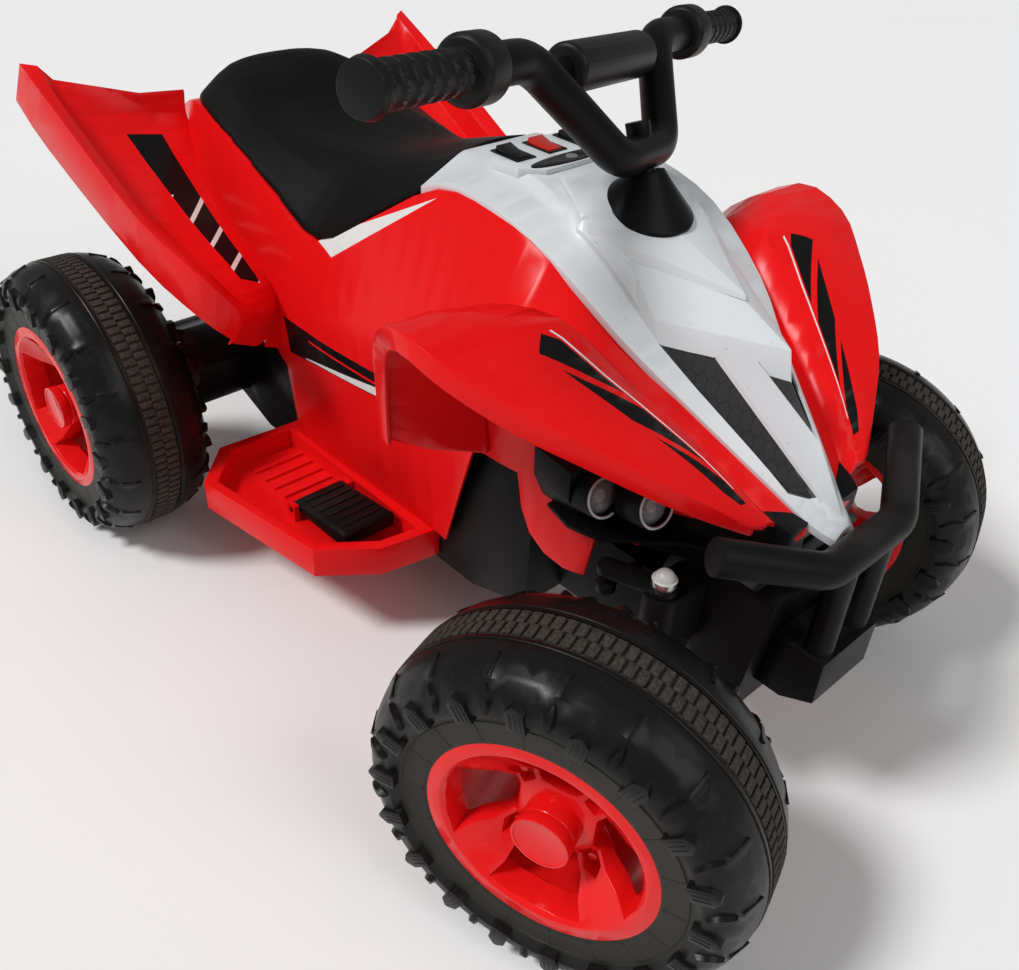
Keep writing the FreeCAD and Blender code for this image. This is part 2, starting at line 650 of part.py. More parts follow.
def steered(shape, sign):
    """Piece of a front wheel's side, turned from straight ahead to the rest position."""
    flipped = shape if sign > 0 else mirrored(shape)
    return rotated(flipped, Vector(front_axle_x, sign * king_pin_side, 0), up, rest_steer_deg)


# Tie rod: links the two arms, with a slotted plate in the middle for the column's crank pin
tie_x = front_axle_x - arm_length * math.cos(rest_steer)
tie_y = -arm_length * math.sin(rest_steer)
tie_right = Vector(tie_x, tie_y - king_pin_side, tie_rod_z)
tie_left = Vector(tie_x, tie_y + king_pin_side, tie_rod_z)
tie_half = tie_rod_radius - rest_gap
tie_rod = rod(tie_right, tie_left, tie_rod_radius)
for eye in (tie_right, tie_left):
    tie_rod = tie_rod.fuse(rod(eye - up * tie_half, eye + up * tie_half, tie_eye_radius))
crank_tip = column_foot + column_rear * arm_length
pin_fall = (crank_tip.z - tie_rod_z) * math.tan(column_tilt)
slot_x = tie_x + crank_tip.x + pin_fall - (front_axle_x - arm_length)
slot_reach = arm_pin_radius + tie_slot_clearance
plate_back_x = slot_x - slot_reach - tie_slot_reach - tie_rod_radius
plate_low = Vector(plate_back_x, tie_y - slot_reach - tie_rod_radius, tie_rod_z - tie_half)
plate_high = Vector(tie_x, tie_y + slot_reach + tie_rod_radius, tie_rod_z + tie_half)
slot_low = Vector(slot_x - slot_reach - tie_slot_reach, tie_y - slot_reach, tie_rod_z - tie_rod_radius)
slot_high = Vector(slot_x + slot_reach + tie_slot_reach, tie_y + slot_reach, tie_rod_z + tie_rod_radius)
tie_rod = tie_rod.fuse(block(plate_low, plate_high)).cut(block(slot_low, slot_high))
for eye in (tie_right, tie_left):
    eye_bore = rod(eye - up * tie_rod_radius, eye + up * tie_rod_radius, arm_pin_radius + running_clearance)
    tie_rod = tie_rod.cut(eye_bore)

# Steering column, handlebar, grips, crossbar pad, clamp bolt and boot, drawn straight ahead
bar_base = column_foot + column_axis * bar_base_rise
grip_x = bar_base.x - bar_setback
grip_z = bar_base.z + bar_rise
bar_points = [
    Vector(grip_x, bar_shoulder_side, grip_z), Vector(grip_x, bar_arm_side, grip_z),
    Vector(bar_base.x, bar_base_half, bar_base.z),
]
bar_points = bar_points + [Vector(p.x, -p.y, p.z) for p in reversed(bar_points)]
bar = bent_bar(bar_points, bar_radius, bar_bend)
core_low = Vector(grip_x, -bar_half_width + grip_flange_length, grip_z)
core_high = Vector(grip_x, bar_half_width - grip_flange_length, grip_z)
shoulder_low = Vector(grip_x, -bar_shoulder_side, grip_z)
shoulder_high = Vector(grip_x, bar_shoulder_side, grip_z)
bar = bar.fuse(rod(core_low, shoulder_low, grip_core_radius))
bar = bar.fuse(rod(shoulder_high, core_high, grip_core_radius))
crossbar_share = 1 - crossbar_drop / bar_rise
crossbar_x = bar_base.x - bar_setback * crossbar_share
crossbar_y = bar_base_half + (bar_arm_side - bar_base_half) * crossbar_share
crossbar_low = Vector(crossbar_x, -crossbar_y, grip_z - crossbar_drop)
crossbar_high = Vector(crossbar_x, crossbar_y, grip_z - crossbar_drop)
bar = bar.fuse(rod(crossbar_low, crossbar_high, crossbar_radius))
pad_low = Vector(crossbar_x, -pad_half_length, grip_z - crossbar_drop)
pad_high = Vector(crossbar_x, pad_half_length, grip_z - crossbar_drop)
pad = rod(pad_low, pad_high, pad_radius)
pad = pad.makeFillet(pad_radius / 4, pad.Edges).cut(rod(crossbar_low, crossbar_high, crossbar_radius))

grip_start = bar_shoulder_side
grip_end = bar_half_width
grip_body = grip_start + grip_collar_length
grip_profile = [
    (grip_start, grip_core_radius), (grip_start, grip_collar_radius - shell_wall),
    (grip_start + shell_wall, grip_collar_radius), (grip_body - shell_wall, grip_collar_radius),
    (grip_body, grip_collar_radius - shell_wall), (grip_body, grip_radius),
]
# Foot, crest, crest and foot of a rib, as shares of the pitch
rib_start_share, rib_rise_share, rib_fall_share, rib_end_share = 0.30, 0.45, 0.75, 0.90
rib_pitch = (grip_end - grip_flange_length - grip_body) / grip_rib_count
for index in range(grip_rib_count):
    rib_start = grip_body + index * rib_pitch
    grip_profile.append((rib_start + rib_pitch * rib_start_share, grip_radius))
    grip_profile.append((rib_start + rib_pitch * rib_rise_share, grip_radius + grip_rib_height))
    grip_profile.append((rib_start + rib_pitch * rib_fall_share, grip_radius + grip_rib_height))
    grip_profile.append((rib_start + rib_pitch * rib_end_share, grip_radius))
grip_profile += [
    (grip_end - grip_flange_length, grip_radius), (grip_end - grip_flange_length, grip_flange_radius),
    (grip_end, grip_flange_radius - shell_wall / 2), (grip_end, 0),
    (grip_end - grip_flange_length, 0), (grip_end - grip_flange_length, grip_core_radius),
]
left_grip = moved(turned(grip_profile), Vector(grip_x, 0, grip_z))
right_grip = mirrored(left_grip)

column = rod(column_foot, bar_base, column_radius)
crank = rod(column_foot - column_axis * arm_plate, column_foot, 2 * column_radius)
crank_tip_low = crank_tip - column_axis * arm_plate
crank = crank.fuse(rod(crank_tip_low, crank_tip, arm_half_width))
arm_half = side * arm_half_width
crank_plate = [column_foot + arm_half, column_foot - arm_half, crank_tip - arm_half, crank_tip + arm_half]
crank = crank.fuse(Part.Face(polygon(crank_plate)).extrude(-column_axis * arm_plate))
crank = crank.fuse(rod(crank_tip, crank_tip - column_axis * crank_pin_length, arm_pin_radius))
column = column.fuse(crank).cut(bar)
# The boot stands on the hood, and the column turns inside it
boot_top = bar_base - column_axis * (bar_radius + rest_gap)
boot_low = boot_top - column_axis * boot_length
boot_tilt = math.radians(boot_tilt_deg)
boot_normal = Vector(math.sin(boot_tilt), 0, math.cos(boot_tilt))
boot_ring = Part.Wire([Part.Circle(boot_low, boot_normal, boot_radius).toShape()])
neck_ring = Part.Wire([Part.Circle(boot_top, column_axis, boot_neck_radius).toShape()])
boot = Part.makeLoft([boot_ring, neck_ring], True, True)
boot = boot.fuse(rod(boot_low - boot_normal * 3 * boot_lip, boot_low, boot_radius))
boot = boot.cut(hood_plain).cut(hood_lining).cut(body_outer)
boot = boot.cut(rod(column_foot, bar_base, column_radius + rest_gap))
boot = max(boot.Solids, key=lambda solid: solid.BoundBox.ZMax)
bolt_low = bar_base + column_axis * (bar_radius - boot_lip)
bolt = rod(bolt_low, bolt_low + column_axis * bolt_height, bolt_radius).cut(bar)


def turned_bar(shape):
    """Piece of the steering, turned from straight ahead to the rest position."""
    return rotated(shape, column_foot, column_axis, rest_steer_deg)


# Wheels, drawn about the Y axis with +Y outward: tyre with lugs, tread band, spoked rim, hub cap
tread_floor = tyre_radius - tread_depth
bead_radius = rim_radius + rim_wall / 2
# Half section from beside the tread band to the plain ring round the rim, as (side, radius)
tyre_section_shares = [
    (0.440, 0.985), (0.620, 0.965), (0.780, 0.932), (0.900, 0.888),
    (0.975, 0.835), (0.985, 0.785), (0.900, 0.742),
]
tyre_half_profile = [(tread_half_width, tread_floor), (tread_half_width, tyre_radius - tread_depth / 4)]
tyre_half_profile += [(out * tyre_half_width, high * tyre_radius) for out, high in tyre_section_shares]
tyre_half_profile += [(rim_half_width + overrun, bead_radius + tread_depth), (rim_half_width, bead_radius)]
tyre_profile = tyre_half_profile + [(-along, radius) for along, radius in reversed(tyre_half_profile)]
tyre = turned(tyre_profile)
lug_pitch_deg = 360 / lug_count
# Pointed lug on the side wall, as (radius, half width), and bar lug on the shoulder, as (side, radius)
lug_outline_shares = [(0.745, 1.0), (0.850, 1.0), (0.885, 0.2)]
bar_outline_shares = [(0.500, 0.940), (0.500, 0.990), (0.790, 0.943), (0.790, 0.890)]
lug_half = [Vector(high * tyre_radius, 0, across * lug_width / 2) for high, across in lug_outline_shares]
lug_other = [Vector(p.x, 0, -p.z) for p in reversed(lug_half)]
lug_face = Part.Face(polygon(lug_half + lug_other))
lug_depth = 5 * lug_height
lug = moved(lug_face.extrude(side * lug_depth), side * (tyre_half_width + lug_height / 2 - lug_depth))
bar_lug_points = [Vector(high * tyre_radius, out * tyre_half_width, 0) for out, high in bar_outline_shares]
bar_lug_face = Part.Face(polygon([p - up * bar_lug_width / 2 for p in bar_lug_points]))
bar_lug = bar_lug_face.extrude(Vector(0, 0, bar_lug_width))
lugs = []
for index in range(lug_count):
    for offset, piece in ((0, lug), (0.5, bar_lug)):
        lugs.append(rotated(piece, origin, side, (index + offset) * lug_pitch_deg))
        lugs.append(rotated(mirrored(piece), origin, side, (index + offset + 0.5) * lug_pitch_deg))
tyre = tyre.fuse(lugs)
band = turned([
    (-tread_half_width, tread_floor), (tread_half_width, tread_floor),
    (tread_half_width, tyre_radius), (-tread_half_width, tyre_radius)])

# Each spoke is narrow at the hub, with a pocket for its screw, and widens towards the barrel
window_inner = hub_radius + 2 * lug_boss_radius
hub_bore = axle_radius + running_clearance
sleeve_share = 0.7
sleeve_radius = hub_radius * sleeve_share
rim_profile = [
    (-rim_half_width, rim_radius - rim_wall), (-rim_half_width, bead_radius), (rim_half_width, bead_radius),
    (rim_half_width, rim_radius - rim_lip), (rim_half_width - rim_wall, rim_radius - rim_lip - rim_wall),
    (hub_face - spoke_plate, window_inner), (hub_face, hub_radius), (hub_face, hub_bore),
    (-hub_face, hub_bore), (-hub_face, sleeve_radius), (0, sleeve_radius),
    (hub_face - 4 * spoke_plate, window_inner), (rim_half_width - 5 * rim_wall, rim_radius - rim_wall),
]
# Half outlines in the wheel's plane, as (outward, across) shares of the rim radius
window_shares = [
    (0.340, 0.158), (0.500, 0.300), (0.657, 0.341), (0.774, 0.424), (0.850, 0.212), (0.870, 0.000)]
pocket_shares = [(0.370, 0.075), (0.530, 0.095), (0.610, 0.000)]


def rim_cutter(shares, low, high):
    """Prism across the wheel from a half outline in its plane."""
    half = [Vector(out * rim_radius, low, across * rim_radius) for out, across in shares]
    other = [Vector(p.x, p.y, -p.z) for p in reversed(half) if p.z > 0]
    return Part.Face(polygon(half + other)).extrude(side * (high - low))


rim = turned(rim_profile)
window = rim_cutter(window_shares, -rim_half_width, 2 * rim_half_width)
pocket_floor = hub_face - 2 * spoke_plate
pocket = rim_cutter(pocket_shares, pocket_floor, 2 * rim_half_width)
screw_place = Vector(window_inner + lug_boss_radius / 2, pocket_floor - overrun, 0)
lug_screw = rod(screw_place, screw_place + side * (overrun + spoke_plate), lug_screw_radius)
for index in range(spoke_count):
    turn = index * 360 / spoke_count
    spoke_turn = turn + 180 / spoke_count
    rim = rim.cut(rotated(window, origin, side, turn))
    rim = rim.cut(rotated(pocket, origin, side, spoke_turn))
    rim = rim.fuse(rotated(lug_screw, origin, side, spoke_turn))
cap_end = hub_face + hub_cap_length
cap_inner = hub_cap_radius - hub_cap_wall
cap_dish = hub_cap_radius - 2 * hub_cap_wall
cap = turned([
    (hub_face, hub_cap_radius), (cap_end - hub_cap_wall, hub_cap_radius), (cap_end, cap_inner),
    (cap_end, cap_dish), (cap_end - hub_cap_wall / 2, cap_dish), (cap_end - hub_cap_wall / 2, 0),
    (cap_end - 2 * hub_cap_wall, 0), (cap_end - 2 * hub_cap_wall, cap_inner), (hub_face, cap_inner)])
gearbox_face = chassis_half_width + gearbox_width
sleeve_start = gearbox_face + rest_gap - rear_wheel_side
sleeve = turned([
    (sleeve_start, hub_bore), (sleeve_start, sleeve_radius),
    (-hub_face, sleeve_radius), (-hub_face, hub_bore)])
wheel_parts = {"tyre": tyre, "tread_band": band, "rim": rim, "hub_cap": cap}
for sign, hand in ((1, "left"), (-1, "right")):
    for part_name, shape in wheel_parts.items():
        front = moved(shape, Vector(front_axle_x, front_wheel_side, axle_z))
        save("front_" + hand + "_" + part_name, steered(front, sign))
        rear = shape.fuse(sleeve) if part_name == "rim" else shape
        rear = moved(rear, Vector(rear_axle_x, rear_wheel_side, axle_z))
        save("rear_" + hand + "_" + part_name, rear if sign > 0 else mirrored(rear))

# Rear axle, its nuts, gearboxes and motors
axle_end = rear_wheel_side + hub_face + rest_gap + axle_nut_length
rear_axle = rod(Vector(rear_axle_x, -axle_end, axle_z), Vector(rear_axle_x, axle_end, axle_z), axle_radius)
nut_start = Vector(rear_axle_x, axle_end - axle_nut_length, axle_z)
rear_nut = rod(nut_start, nut_start + side * axle_nut_length, axle_nut_radius).cut(rear_axle)
gear_start = Vector(rear_axle_x, chassis_half_width, axle_z)
motor_start = Vector(motor_x, chassis_half_width, motor_z)
gear_run = side * gearbox_width
gear_turn = math.atan2(motor_up, motor_forward)
gear_normal = Vector(-math.sin(gear_turn), 0, math.cos(gear_turn))
gear_rise = gear_normal * gearbox_radius
motor_rise = gear_normal * gearbox_motor_radius
gear_web_wire = polygon([
    gear_start + gear_rise, motor_start + motor_rise, motor_start - motor_rise, gear_start - gear_rise])
gearbox = rod(gear_start, gear_start + gear_run, gearbox_radius)
gearbox = gearbox.fuse(rod(motor_start, motor_start + gear_run, gearbox_motor_radius))
gearbox = gearbox.fuse(Part.Face(gear_web_wire).extrude(gear_run)).cut(axle_bore)
motor = rod(motor_start, motor_start - side * motor_length, motor_radius)

# Battery, control box, speaker and loom inside the tub
tub_floor = chassis_floor_z + chassis_wall
battery_share = 0.400
battery_x = body_tail_x + battery_share * body_length
battery_low = Vector(battery_x, -battery_width / 2, tub_floor)
battery = block(battery_low, battery_low + Vector(battery_length, battery_width, battery_height))
control_x = battery_x - box_length - box_height
control_low = Vector(control_x, -box_width / 2, tub_floor)
control_box = block(control_low, control_low + Vector(box_length, box_width, box_height))
speaker_x = chassis_front_x - chassis_wall
speaker_z = chassis_floor_z + chassis_rise + speaker_radius + chassis_wall
speaker_face = Vector(speaker_x, 0, speaker_z)
speaker = Part.makeCone(speaker_radius, speaker_radius / 2, speaker_depth, speaker_face, -forward)
loom_z = tub_floor + box_height / 2
loom = rod(Vector(control_x + box_length, 0, loom_z), Vector(battery_x, 0, loom_z), loom_radius)

# Dash panel on the hood with three rockers and a push button
dash_share = 0.556
dash_top_share = 0.983
dash_x = body_tail_x + dash_share * body_length
dash_top = dash_top_share * body_height + dash_rise
dash_low = dash_top - 3 * dash_rise
dash_corner = dash_length / 4
dash_front_x = dash_x + dash_length
dash_side = dash_half_width - dash_corner
dash_plan = [
    (dash_x, -dash_side), (dash_x + dash_corner, -dash_half_width),
    (dash_front_x - dash_corner, -dash_half_width), (dash_front_x, -dash_side),
    (dash_front_x, dash_side), (dash_front_x - dash_corner, dash_half_width),
    (dash_x + dash_corner, dash_half_width), (dash_x, dash_side)]
dash = plan_prism(dash_plan, dash_low, dash_top).cut(hood).cut(hood_lining).cut(body_outer)
dash = max(dash.Solids, key=lambda solid: solid.BoundBox.ZMax)
rocker_share = 0.80
rocker_x = dash_x + rocker_length * rocker_share
rocker_pin_z = dash_top - rocker_height / 2
rocker_hole_half = Vector(rocker_length / 2 + rocker_clearance, rocker_width / 2 + rest_gap, 0)
rockers = {}
rocker_sides = {"power_rocker": 0, "direction_rocker": -rocker_spacing, "speed_rocker": rocker_spacing}
for name, rocker_y in rocker_sides.items():
    centre = Vector(rocker_x, rocker_y, rocker_pin_z)
    hole_low = centre - rocker_hole_half - up * rocker_height
    hole = block(hole_low, centre + rocker_hole_half + up * 2 * rocker_height)
    pin_run = side * (rocker_width / 2 + rocker_pin_length)
    bore_run = pin_run + side * rest_gap
    bore = rod(centre - bore_run, centre + bore_run, rocker_pin_radius + running_clearance)
    dash = dash.cut(hole).cut(bore)
    hood = hood.cut(hole).cut(bore)
    rocker_outline = [
        (rocker_x - rocker_length / 2, rocker_pin_z), (rocker_x, rocker_pin_z - rocker_height / 2),
        (rocker_x + rocker_length / 2, rocker_pin_z),
        (rocker_x + rocker_length / 2, rocker_pin_z + rocker_height),
        (rocker_x, rocker_pin_z + rocker_height - rocker_pin_radius),
        (rocker_x - rocker_length / 2, rocker_pin_z + rocker_height)]
    rocker = side_prism(rocker_outline, rocker_y - rocker_width / 2, rocker_y + rocker_width / 2)
    rocker = rocker.fuse(rod(centre - pin_run, centre + pin_run, rocker_pin_radius))
    rockers[name] = rotated(rocker, centre, side, rocker_tilt_deg)
button_x = dash_x + dash_length - 2 * button_radius
button_low = Vector(button_x, 0, dash_top - button_height + button_travel)
button = rod(button_low, button_low + up * button_height, button_radius)
button_hole_low = button_low - up * (button_travel + rest_gap)
button_hole = rod(button_hole_low, button_low + up * 2 * button_height, button_radius + rest_gap)
dash = dash.cut(button_hole)
hood = hood.cut(button_hole)

# Headlight housings under the front fenders: a cheek, a floor and two tubular cups with lenses and lamps
# Each row: place along the body, then inner and outer side, low and high, as shares
housing_shares = [
    (0.738, 0.420, 0.500, 0.620, 0.660), (0.752, 0.400, 0.545, 0.565, 0.665),
    (0.793, 0.350, 0.530, 0.548, 0.650), (0.803, 0.340, 0.400, 0.548, 0.680),
    (0.835, 0.270, 0.330, 0.548, 0.685), (0.890, 0.210, 0.270, 0.548, 0.670),
    (0.957, 0.090, 0.180, 0.567, 0.620),
]
# Plan of the floor under the cups, as (along, side)
housing_floor_shares = [
    (0.760, 0.400), (0.760, 0.500), (0.795, 0.530), (0.828, 0.500),
    (0.880, 0.310), (0.930, 0.230), (0.930, 0.130)]
housing_wires = []
for along, inner, outer, low, high in housing_shares:
    middle = (low + high) / 2
    housing_wires.append(polygon([
        place(along, inner, low), place(along, outer - (outer - inner) / 3, low),
        place(along, outer, middle),
        place(along, outer, high), place(along, inner, high)]))
housing = Part.makeLoft(housing_wires, True, True)
housing_low_z = min(row[3] for row in housing_shares) * body_height
floor_plan = [place(along, across, 0) for along, across in housing_floor_shares]
housing_floor = plan_prism([(p.x, p.y) for p in floor_plan], housing_low_z, housing_low_z + shell_wall)
housing = housing.fuse(housing_floor).cut(body_solid)
# Middles of the lens faces, and the way that they look, as shares
lamp_shares = [(0.818, 0.462, 0.614), (0.861, 0.396, 0.622)]
lamp_out_share = 0.15
lamp_up_share = 0.32
lamp_facing = (forward + side * lamp_out_share + up * lamp_up_share).normalize()
lens_step_shares = [0.0, 0.4, 0.7, 0.9, 1.0]
lens_profile = [(0, 0), (0, lens_radius)]
for share in reversed(lens_step_shares):
    lens_profile.append((lens_depth - lens_dome * share ** 2, lens_radius * share))
lens = turned(lens_profile)
cups = []
cup_bores = []
lenses = []
lamps = []
for shares in lamp_shares:
    lamp_mouth = place(*shares)
    lens_back = lamp_mouth - lamp_facing * lens_depth
    lamp_base = lens_back - lamp_facing * lamp_length
    cups.append(rod(lamp_mouth - lamp_facing * cup_length, lamp_mouth, cup_radius).cut(body_solid))
    cup_bores.append(rod(lamp_base, lamp_mouth + lamp_facing * lens_dome, lens_radius))
    set_lens = lens.copy()
    set_lens.Placement = FreeCAD.Placement(lens_back, FreeCAD.Rotation(side, lamp_facing))
    lenses.append(set_lens)
    lamps.append(rod(lamp_base, lens_back, lamp_radius))
housing = housing.fuse(cups).cut(cup_bores)
housing = housing.cut(left_front_fender).cut(hood_plain)

# Front bumper: bent bar, two struts and a chin fixed to the axle carrier
chin_width_share = 0.8
strut_share = 0.8
bumper_shares = [(0.945, 0.500, 0.650), (1.000, 0.190, 0.600)]
bumper_radius = bar_radius
bumper_points = [place(*shares) for shares in bumper_shares]
bumper_points = bumper_points + [Vector(p.x, -p.y, p.z) for p in reversed(bumper_points)]
bumper = bent_bar(bumper_points, bumper_radius, bar_bend)
chin_side = bumper_points[1].y * chin_width_share
chin_top_z = axle_z + 4 * bumper_radius
chin_outline = [
    (carrier_front_x - 2 * boss_radius, axle_z), (carrier_front_x - 2 * boss_radius, chin_top_z),
    (bumper_points[1].x + bumper_radius, chin_top_z),
    (bumper_points[1].x + bumper_radius, axle_z + bumper_radius),
    (bumper_points[1].x - bumper_radius, axle_z)]
chin = side_prism(chin_outline, -chin_side, chin_side).cut(carrier)
bumper = bumper.fuse(chin)
for sign in (-1, 1):
    strut_low = Vector(bumper_points[1].x, sign * (chin_side - bumper_radius), chin_top_z - bumper_radius)
    strut_high = Vector(bumper_points[1].x, sign * (chin_side - bumper_radius), bumper_points[1].z)
    bumper = bumper.fuse(rod(strut_low, strut_high, bumper_radius * strut_share))

# Screws that hold the footrests to the chassis
screw_shares = [0.300, 0.400, 0.500]
screws = []
screw_z = footrest_low + footrest_depth / 3
for share in screw_shares:
    for sign in (-1, 1):
        head_y = sign * (chassis_inner_half - screw_head_height)
        head = Vector(body_tail_x + share * body_length, head_y, screw_z + footrest_rib)
        run = side * sign
        seat_face = head + run * screw_head_height
        shank = rod(seat_face, seat_face + run * screw_length, screw_radius)
        screw = rod(head, seat_face, screw_head_radius).fuse(shank)
        screws.append(screw)
        chassis = chassis.cut(screw)
        left_footrest = left_footrest.cut(screw)
        right_footrest = right_footrest.cut(screw)

save("lower_chassis", chassis)
save("left_footrest", left_footrest)
save("right_footrest", right_footrest)
save("body_shell", body_shell)
save("left_rear_fender", left_rear_fender)
save("right_rear_fender", mirrored(left_rear_fender))
save("left_front_fender", left_front_fender)
save("right_front_fender", mirrored(left_front_fender))
save("hood_cover", hood)
save("seat", seat)
save("left_headlight_housing", housing)
save("right_headlight_housing", mirrored(housing))
save("headlight_lenses", Part.makeCompound(lenses + [mirrored(lens) for lens in lenses]))
save("headlight_lamps", Part.makeCompound(lamps + [mirrored(lamp) for lamp in lamps]))
save("front_bumper", bumper)
save("front_axle_carrier", carrier)
save("rear_axle", rear_axle)
save("rear_axle_nuts", Part.makeCompound([rear_nut, mirrored(rear_nut)]))
save("left_gearbox", gearbox)
save("right_gearbox", mirrored(gearbox))
save("drive_motors", Part.makeCompound([motor, mirrored(motor)]))
save("battery", battery)
save("control_box", control_box)
save("speaker", speaker)
save("wiring_loom", loom)
save("dash_panel", dash)
save("body_screws", Part.makeCompound(screws))
save("accelerator_pedal", pedal)
for name, rocker in rockers.items():
    save(name, rocker)
save("music_button", button)
save("handlebar", turned_bar(bar))
save("left_grip", turned_bar(left_grip))
save("right_grip", turned_bar(right_grip))
save("crossbar_pad", turned_bar(pad))
save("steering_column", turned_bar(column))
save("steering_boot", boot)
save("handlebar_bolt", turned_bar(bolt))
save("left_knuckle", steered(knuckle, 1))
save("right_knuckle", steered(knuckle, -1))
save("left_knuckle_nuts", steered(left_nuts, 1))
save("right_knuckle_nuts", steered(left_nuts, -1))
save("tie_rod", tie_rod)
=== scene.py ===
import json
import math

import bpy
from mathutils import Matrix, Vector

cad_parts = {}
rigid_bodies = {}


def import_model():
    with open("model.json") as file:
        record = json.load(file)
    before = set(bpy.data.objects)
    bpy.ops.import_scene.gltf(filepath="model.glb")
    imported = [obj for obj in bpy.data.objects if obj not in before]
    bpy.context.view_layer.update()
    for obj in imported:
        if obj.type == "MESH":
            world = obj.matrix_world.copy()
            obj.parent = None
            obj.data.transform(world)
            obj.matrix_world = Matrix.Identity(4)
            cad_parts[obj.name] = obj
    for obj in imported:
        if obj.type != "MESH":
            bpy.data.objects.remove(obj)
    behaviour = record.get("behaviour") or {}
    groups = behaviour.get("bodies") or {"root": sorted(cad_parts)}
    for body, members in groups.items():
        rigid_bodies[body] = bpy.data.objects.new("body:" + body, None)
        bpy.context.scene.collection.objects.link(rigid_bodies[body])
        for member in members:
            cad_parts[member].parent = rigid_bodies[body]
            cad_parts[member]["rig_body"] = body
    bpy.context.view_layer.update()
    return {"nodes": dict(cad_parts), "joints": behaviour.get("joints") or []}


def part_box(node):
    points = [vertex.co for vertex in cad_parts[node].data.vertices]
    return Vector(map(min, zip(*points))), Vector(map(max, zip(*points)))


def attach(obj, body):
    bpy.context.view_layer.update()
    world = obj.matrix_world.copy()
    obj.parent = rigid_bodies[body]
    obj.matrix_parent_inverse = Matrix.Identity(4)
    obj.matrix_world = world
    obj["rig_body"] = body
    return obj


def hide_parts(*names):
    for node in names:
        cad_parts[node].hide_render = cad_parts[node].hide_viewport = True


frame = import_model()

# The studio is a pale painted floor under two soft suns, a key from the right and a weaker one from in front.
# The camera stands ahead of the bike and to its right and looks down at the hood. It leans a little, as if it
# were held by hand.
camera_place = Vector((0.62402, -0.58309, 0.74133))
camera_azimuth = math.radians(45.25)
camera_elevation = math.radians(36.26)
camera_roll = math.radians(3.53)
camera_lens = 36.44
camera_sensor = 36.0
camera_near = 0.01
back = Vector((
    math.sin(camera_azimuth) * math.cos(camera_elevation),
    -math.cos(camera_azimuth) * math.cos(camera_elevation),
    math.sin(camera_elevation)))
bpy.ops.object.select_all(action="DESELECT")
bpy.ops.object.camera_add(location=camera_place)
camera = bpy.context.object
level_turn = back.to_track_quat("Z", "Y").to_matrix()
camera.rotation_euler = (level_turn @ Matrix.Rotation(camera_roll, 3, "Z")).to_euler()
camera.data.sensor_width = camera_sensor
camera.data.sensor_fit = "HORIZONTAL"
camera.data.lens = camera_lens
camera.data.clip_start = camera_near
bpy.context.scene.camera = camera
bpy.context.scene.view_settings.view_transform = "Standard"

floor_width = 14.0
floor_white = (0.94, 0.94, 0.935, 1)
bpy.ops.mesh.primitive_plane_add(size=floor_width)
floor = bpy.context.object
floor.name = "studio_floor"


class Value:
    """An output socket of a material; arithmetic on it adds Math nodes to that material."""

    def __init__(self, socket):
        self.socket = socket

    def node(self, kind, settings, sockets, output=0):
        """Adds a node, makes its settings, fills its sockets with values or links, and gives an output."""
        tree = self.socket.id_data
        made = tree.nodes.new(kind)
        for name, setting in settings.items():
            setattr(made, name, setting)
        for name, value in sockets.items():
            if isinstance(value, Value):
                tree.links.new(value.socket, made.inputs[name])
            else:
                made.inputs[name].default_value = value
        return Value(made.outputs[output])

    def maths(self, operation, first, second=0.0):
        """A Math node on one or two numbers."""
        return self.node("ShaderNodeMath", {"operation": operation}, {0: first, 1: second})

    def __add__(self, other):
        return self.maths("ADD", self, other)

    def __radd__(self, other):
        return self.maths("ADD", other, self)

    def __sub__(self, other):
        return self.maths("SUBTRACT", self, other)

    def __rsub__(self, other):
        return self.maths("SUBTRACT", other, self)

    def __mul__(self, other):
        return self.maths("MULTIPLY", self, other)

    def __rmul__(self, other):
        return self.maths("MULTIPLY", other, self)

    def __truediv__(self, other):
        return self.maths("DIVIDE", self, other)

    def __gt__(self, other):
        return self.maths("GREATER_THAN", self, other)

    def __lt__(self, other):
        return self.maths("LESS_THAN", self, other)

    def __abs__(self):
        return self.maths("ABSOLUTE", self)

    def most(self, other):
        """The greater of two values."""
        return self.maths("MAXIMUM", self, other)

    def within(self, low, high):
        """1 where this value lies between two others, else 0."""
        return (self > low) * (self < high)

    def fraction(self):
        """What this value has past a whole number."""
        return self.maths("FRACT", self)

    def modulo(self, period):
        """What this value has past a whole number of periods."""
        return self.maths("FLOORED_MODULO", self, period)

    def line(self, start, height, slope):
        """A straight line over this coordinate, by its height at a start and its slope."""
        return (self - start) * slope + height

    def between(self, low, high):
        """Runs from low to high as this value runs from 0 to 1."""
        return self * (high - low) + low

    def step(self, low, high):
        """Rises smoothly from 0 at low to 1 at high."""
        settings = {"interpolation_type": "SMOOTHSTEP"}
        return self.node("ShaderNodeMapRange", settings, {0: self, 1: low, 2: high})

    def noise(self, scale, detail=3.0, roughness=0.5):
        """Noise at this place, as a number about 0.5."""
        sockets = {"Vector": self, "Scale": scale, "Detail": detail, "Roughness": roughness}
        return self.node("ShaderNodeTexNoise", {}, sockets)

    def mix(self, colour, other):
        """Mixes two colours, with this value as the share of the second."""
        return self.node("ShaderNodeMix", {"data_type": "RGBA"}, {0: self, 6: colour, 7: other}, 2)

    def bump(self, strength, distance):
        """Normals of a surface with this height."""
        return self.node("ShaderNodeBump", {}, {"Height": self, "Strength": strength, "Distance": distance})

    def parts(self):
        """The three coordinates of a place."""
        tree = self.socket.id_data
        made = tree.nodes.new("ShaderNodeSeparateXYZ")
        tree.links.new(self.socket, made.inputs[0])
        return [Value(output) for output in made.outputs]

    def upward(self, low, high):
        """Rises from 0 to 1 as the surface at this place turns to face up."""
        return Value(self.socket.node.outputs["Normal"]).parts()[2].step(low, high)


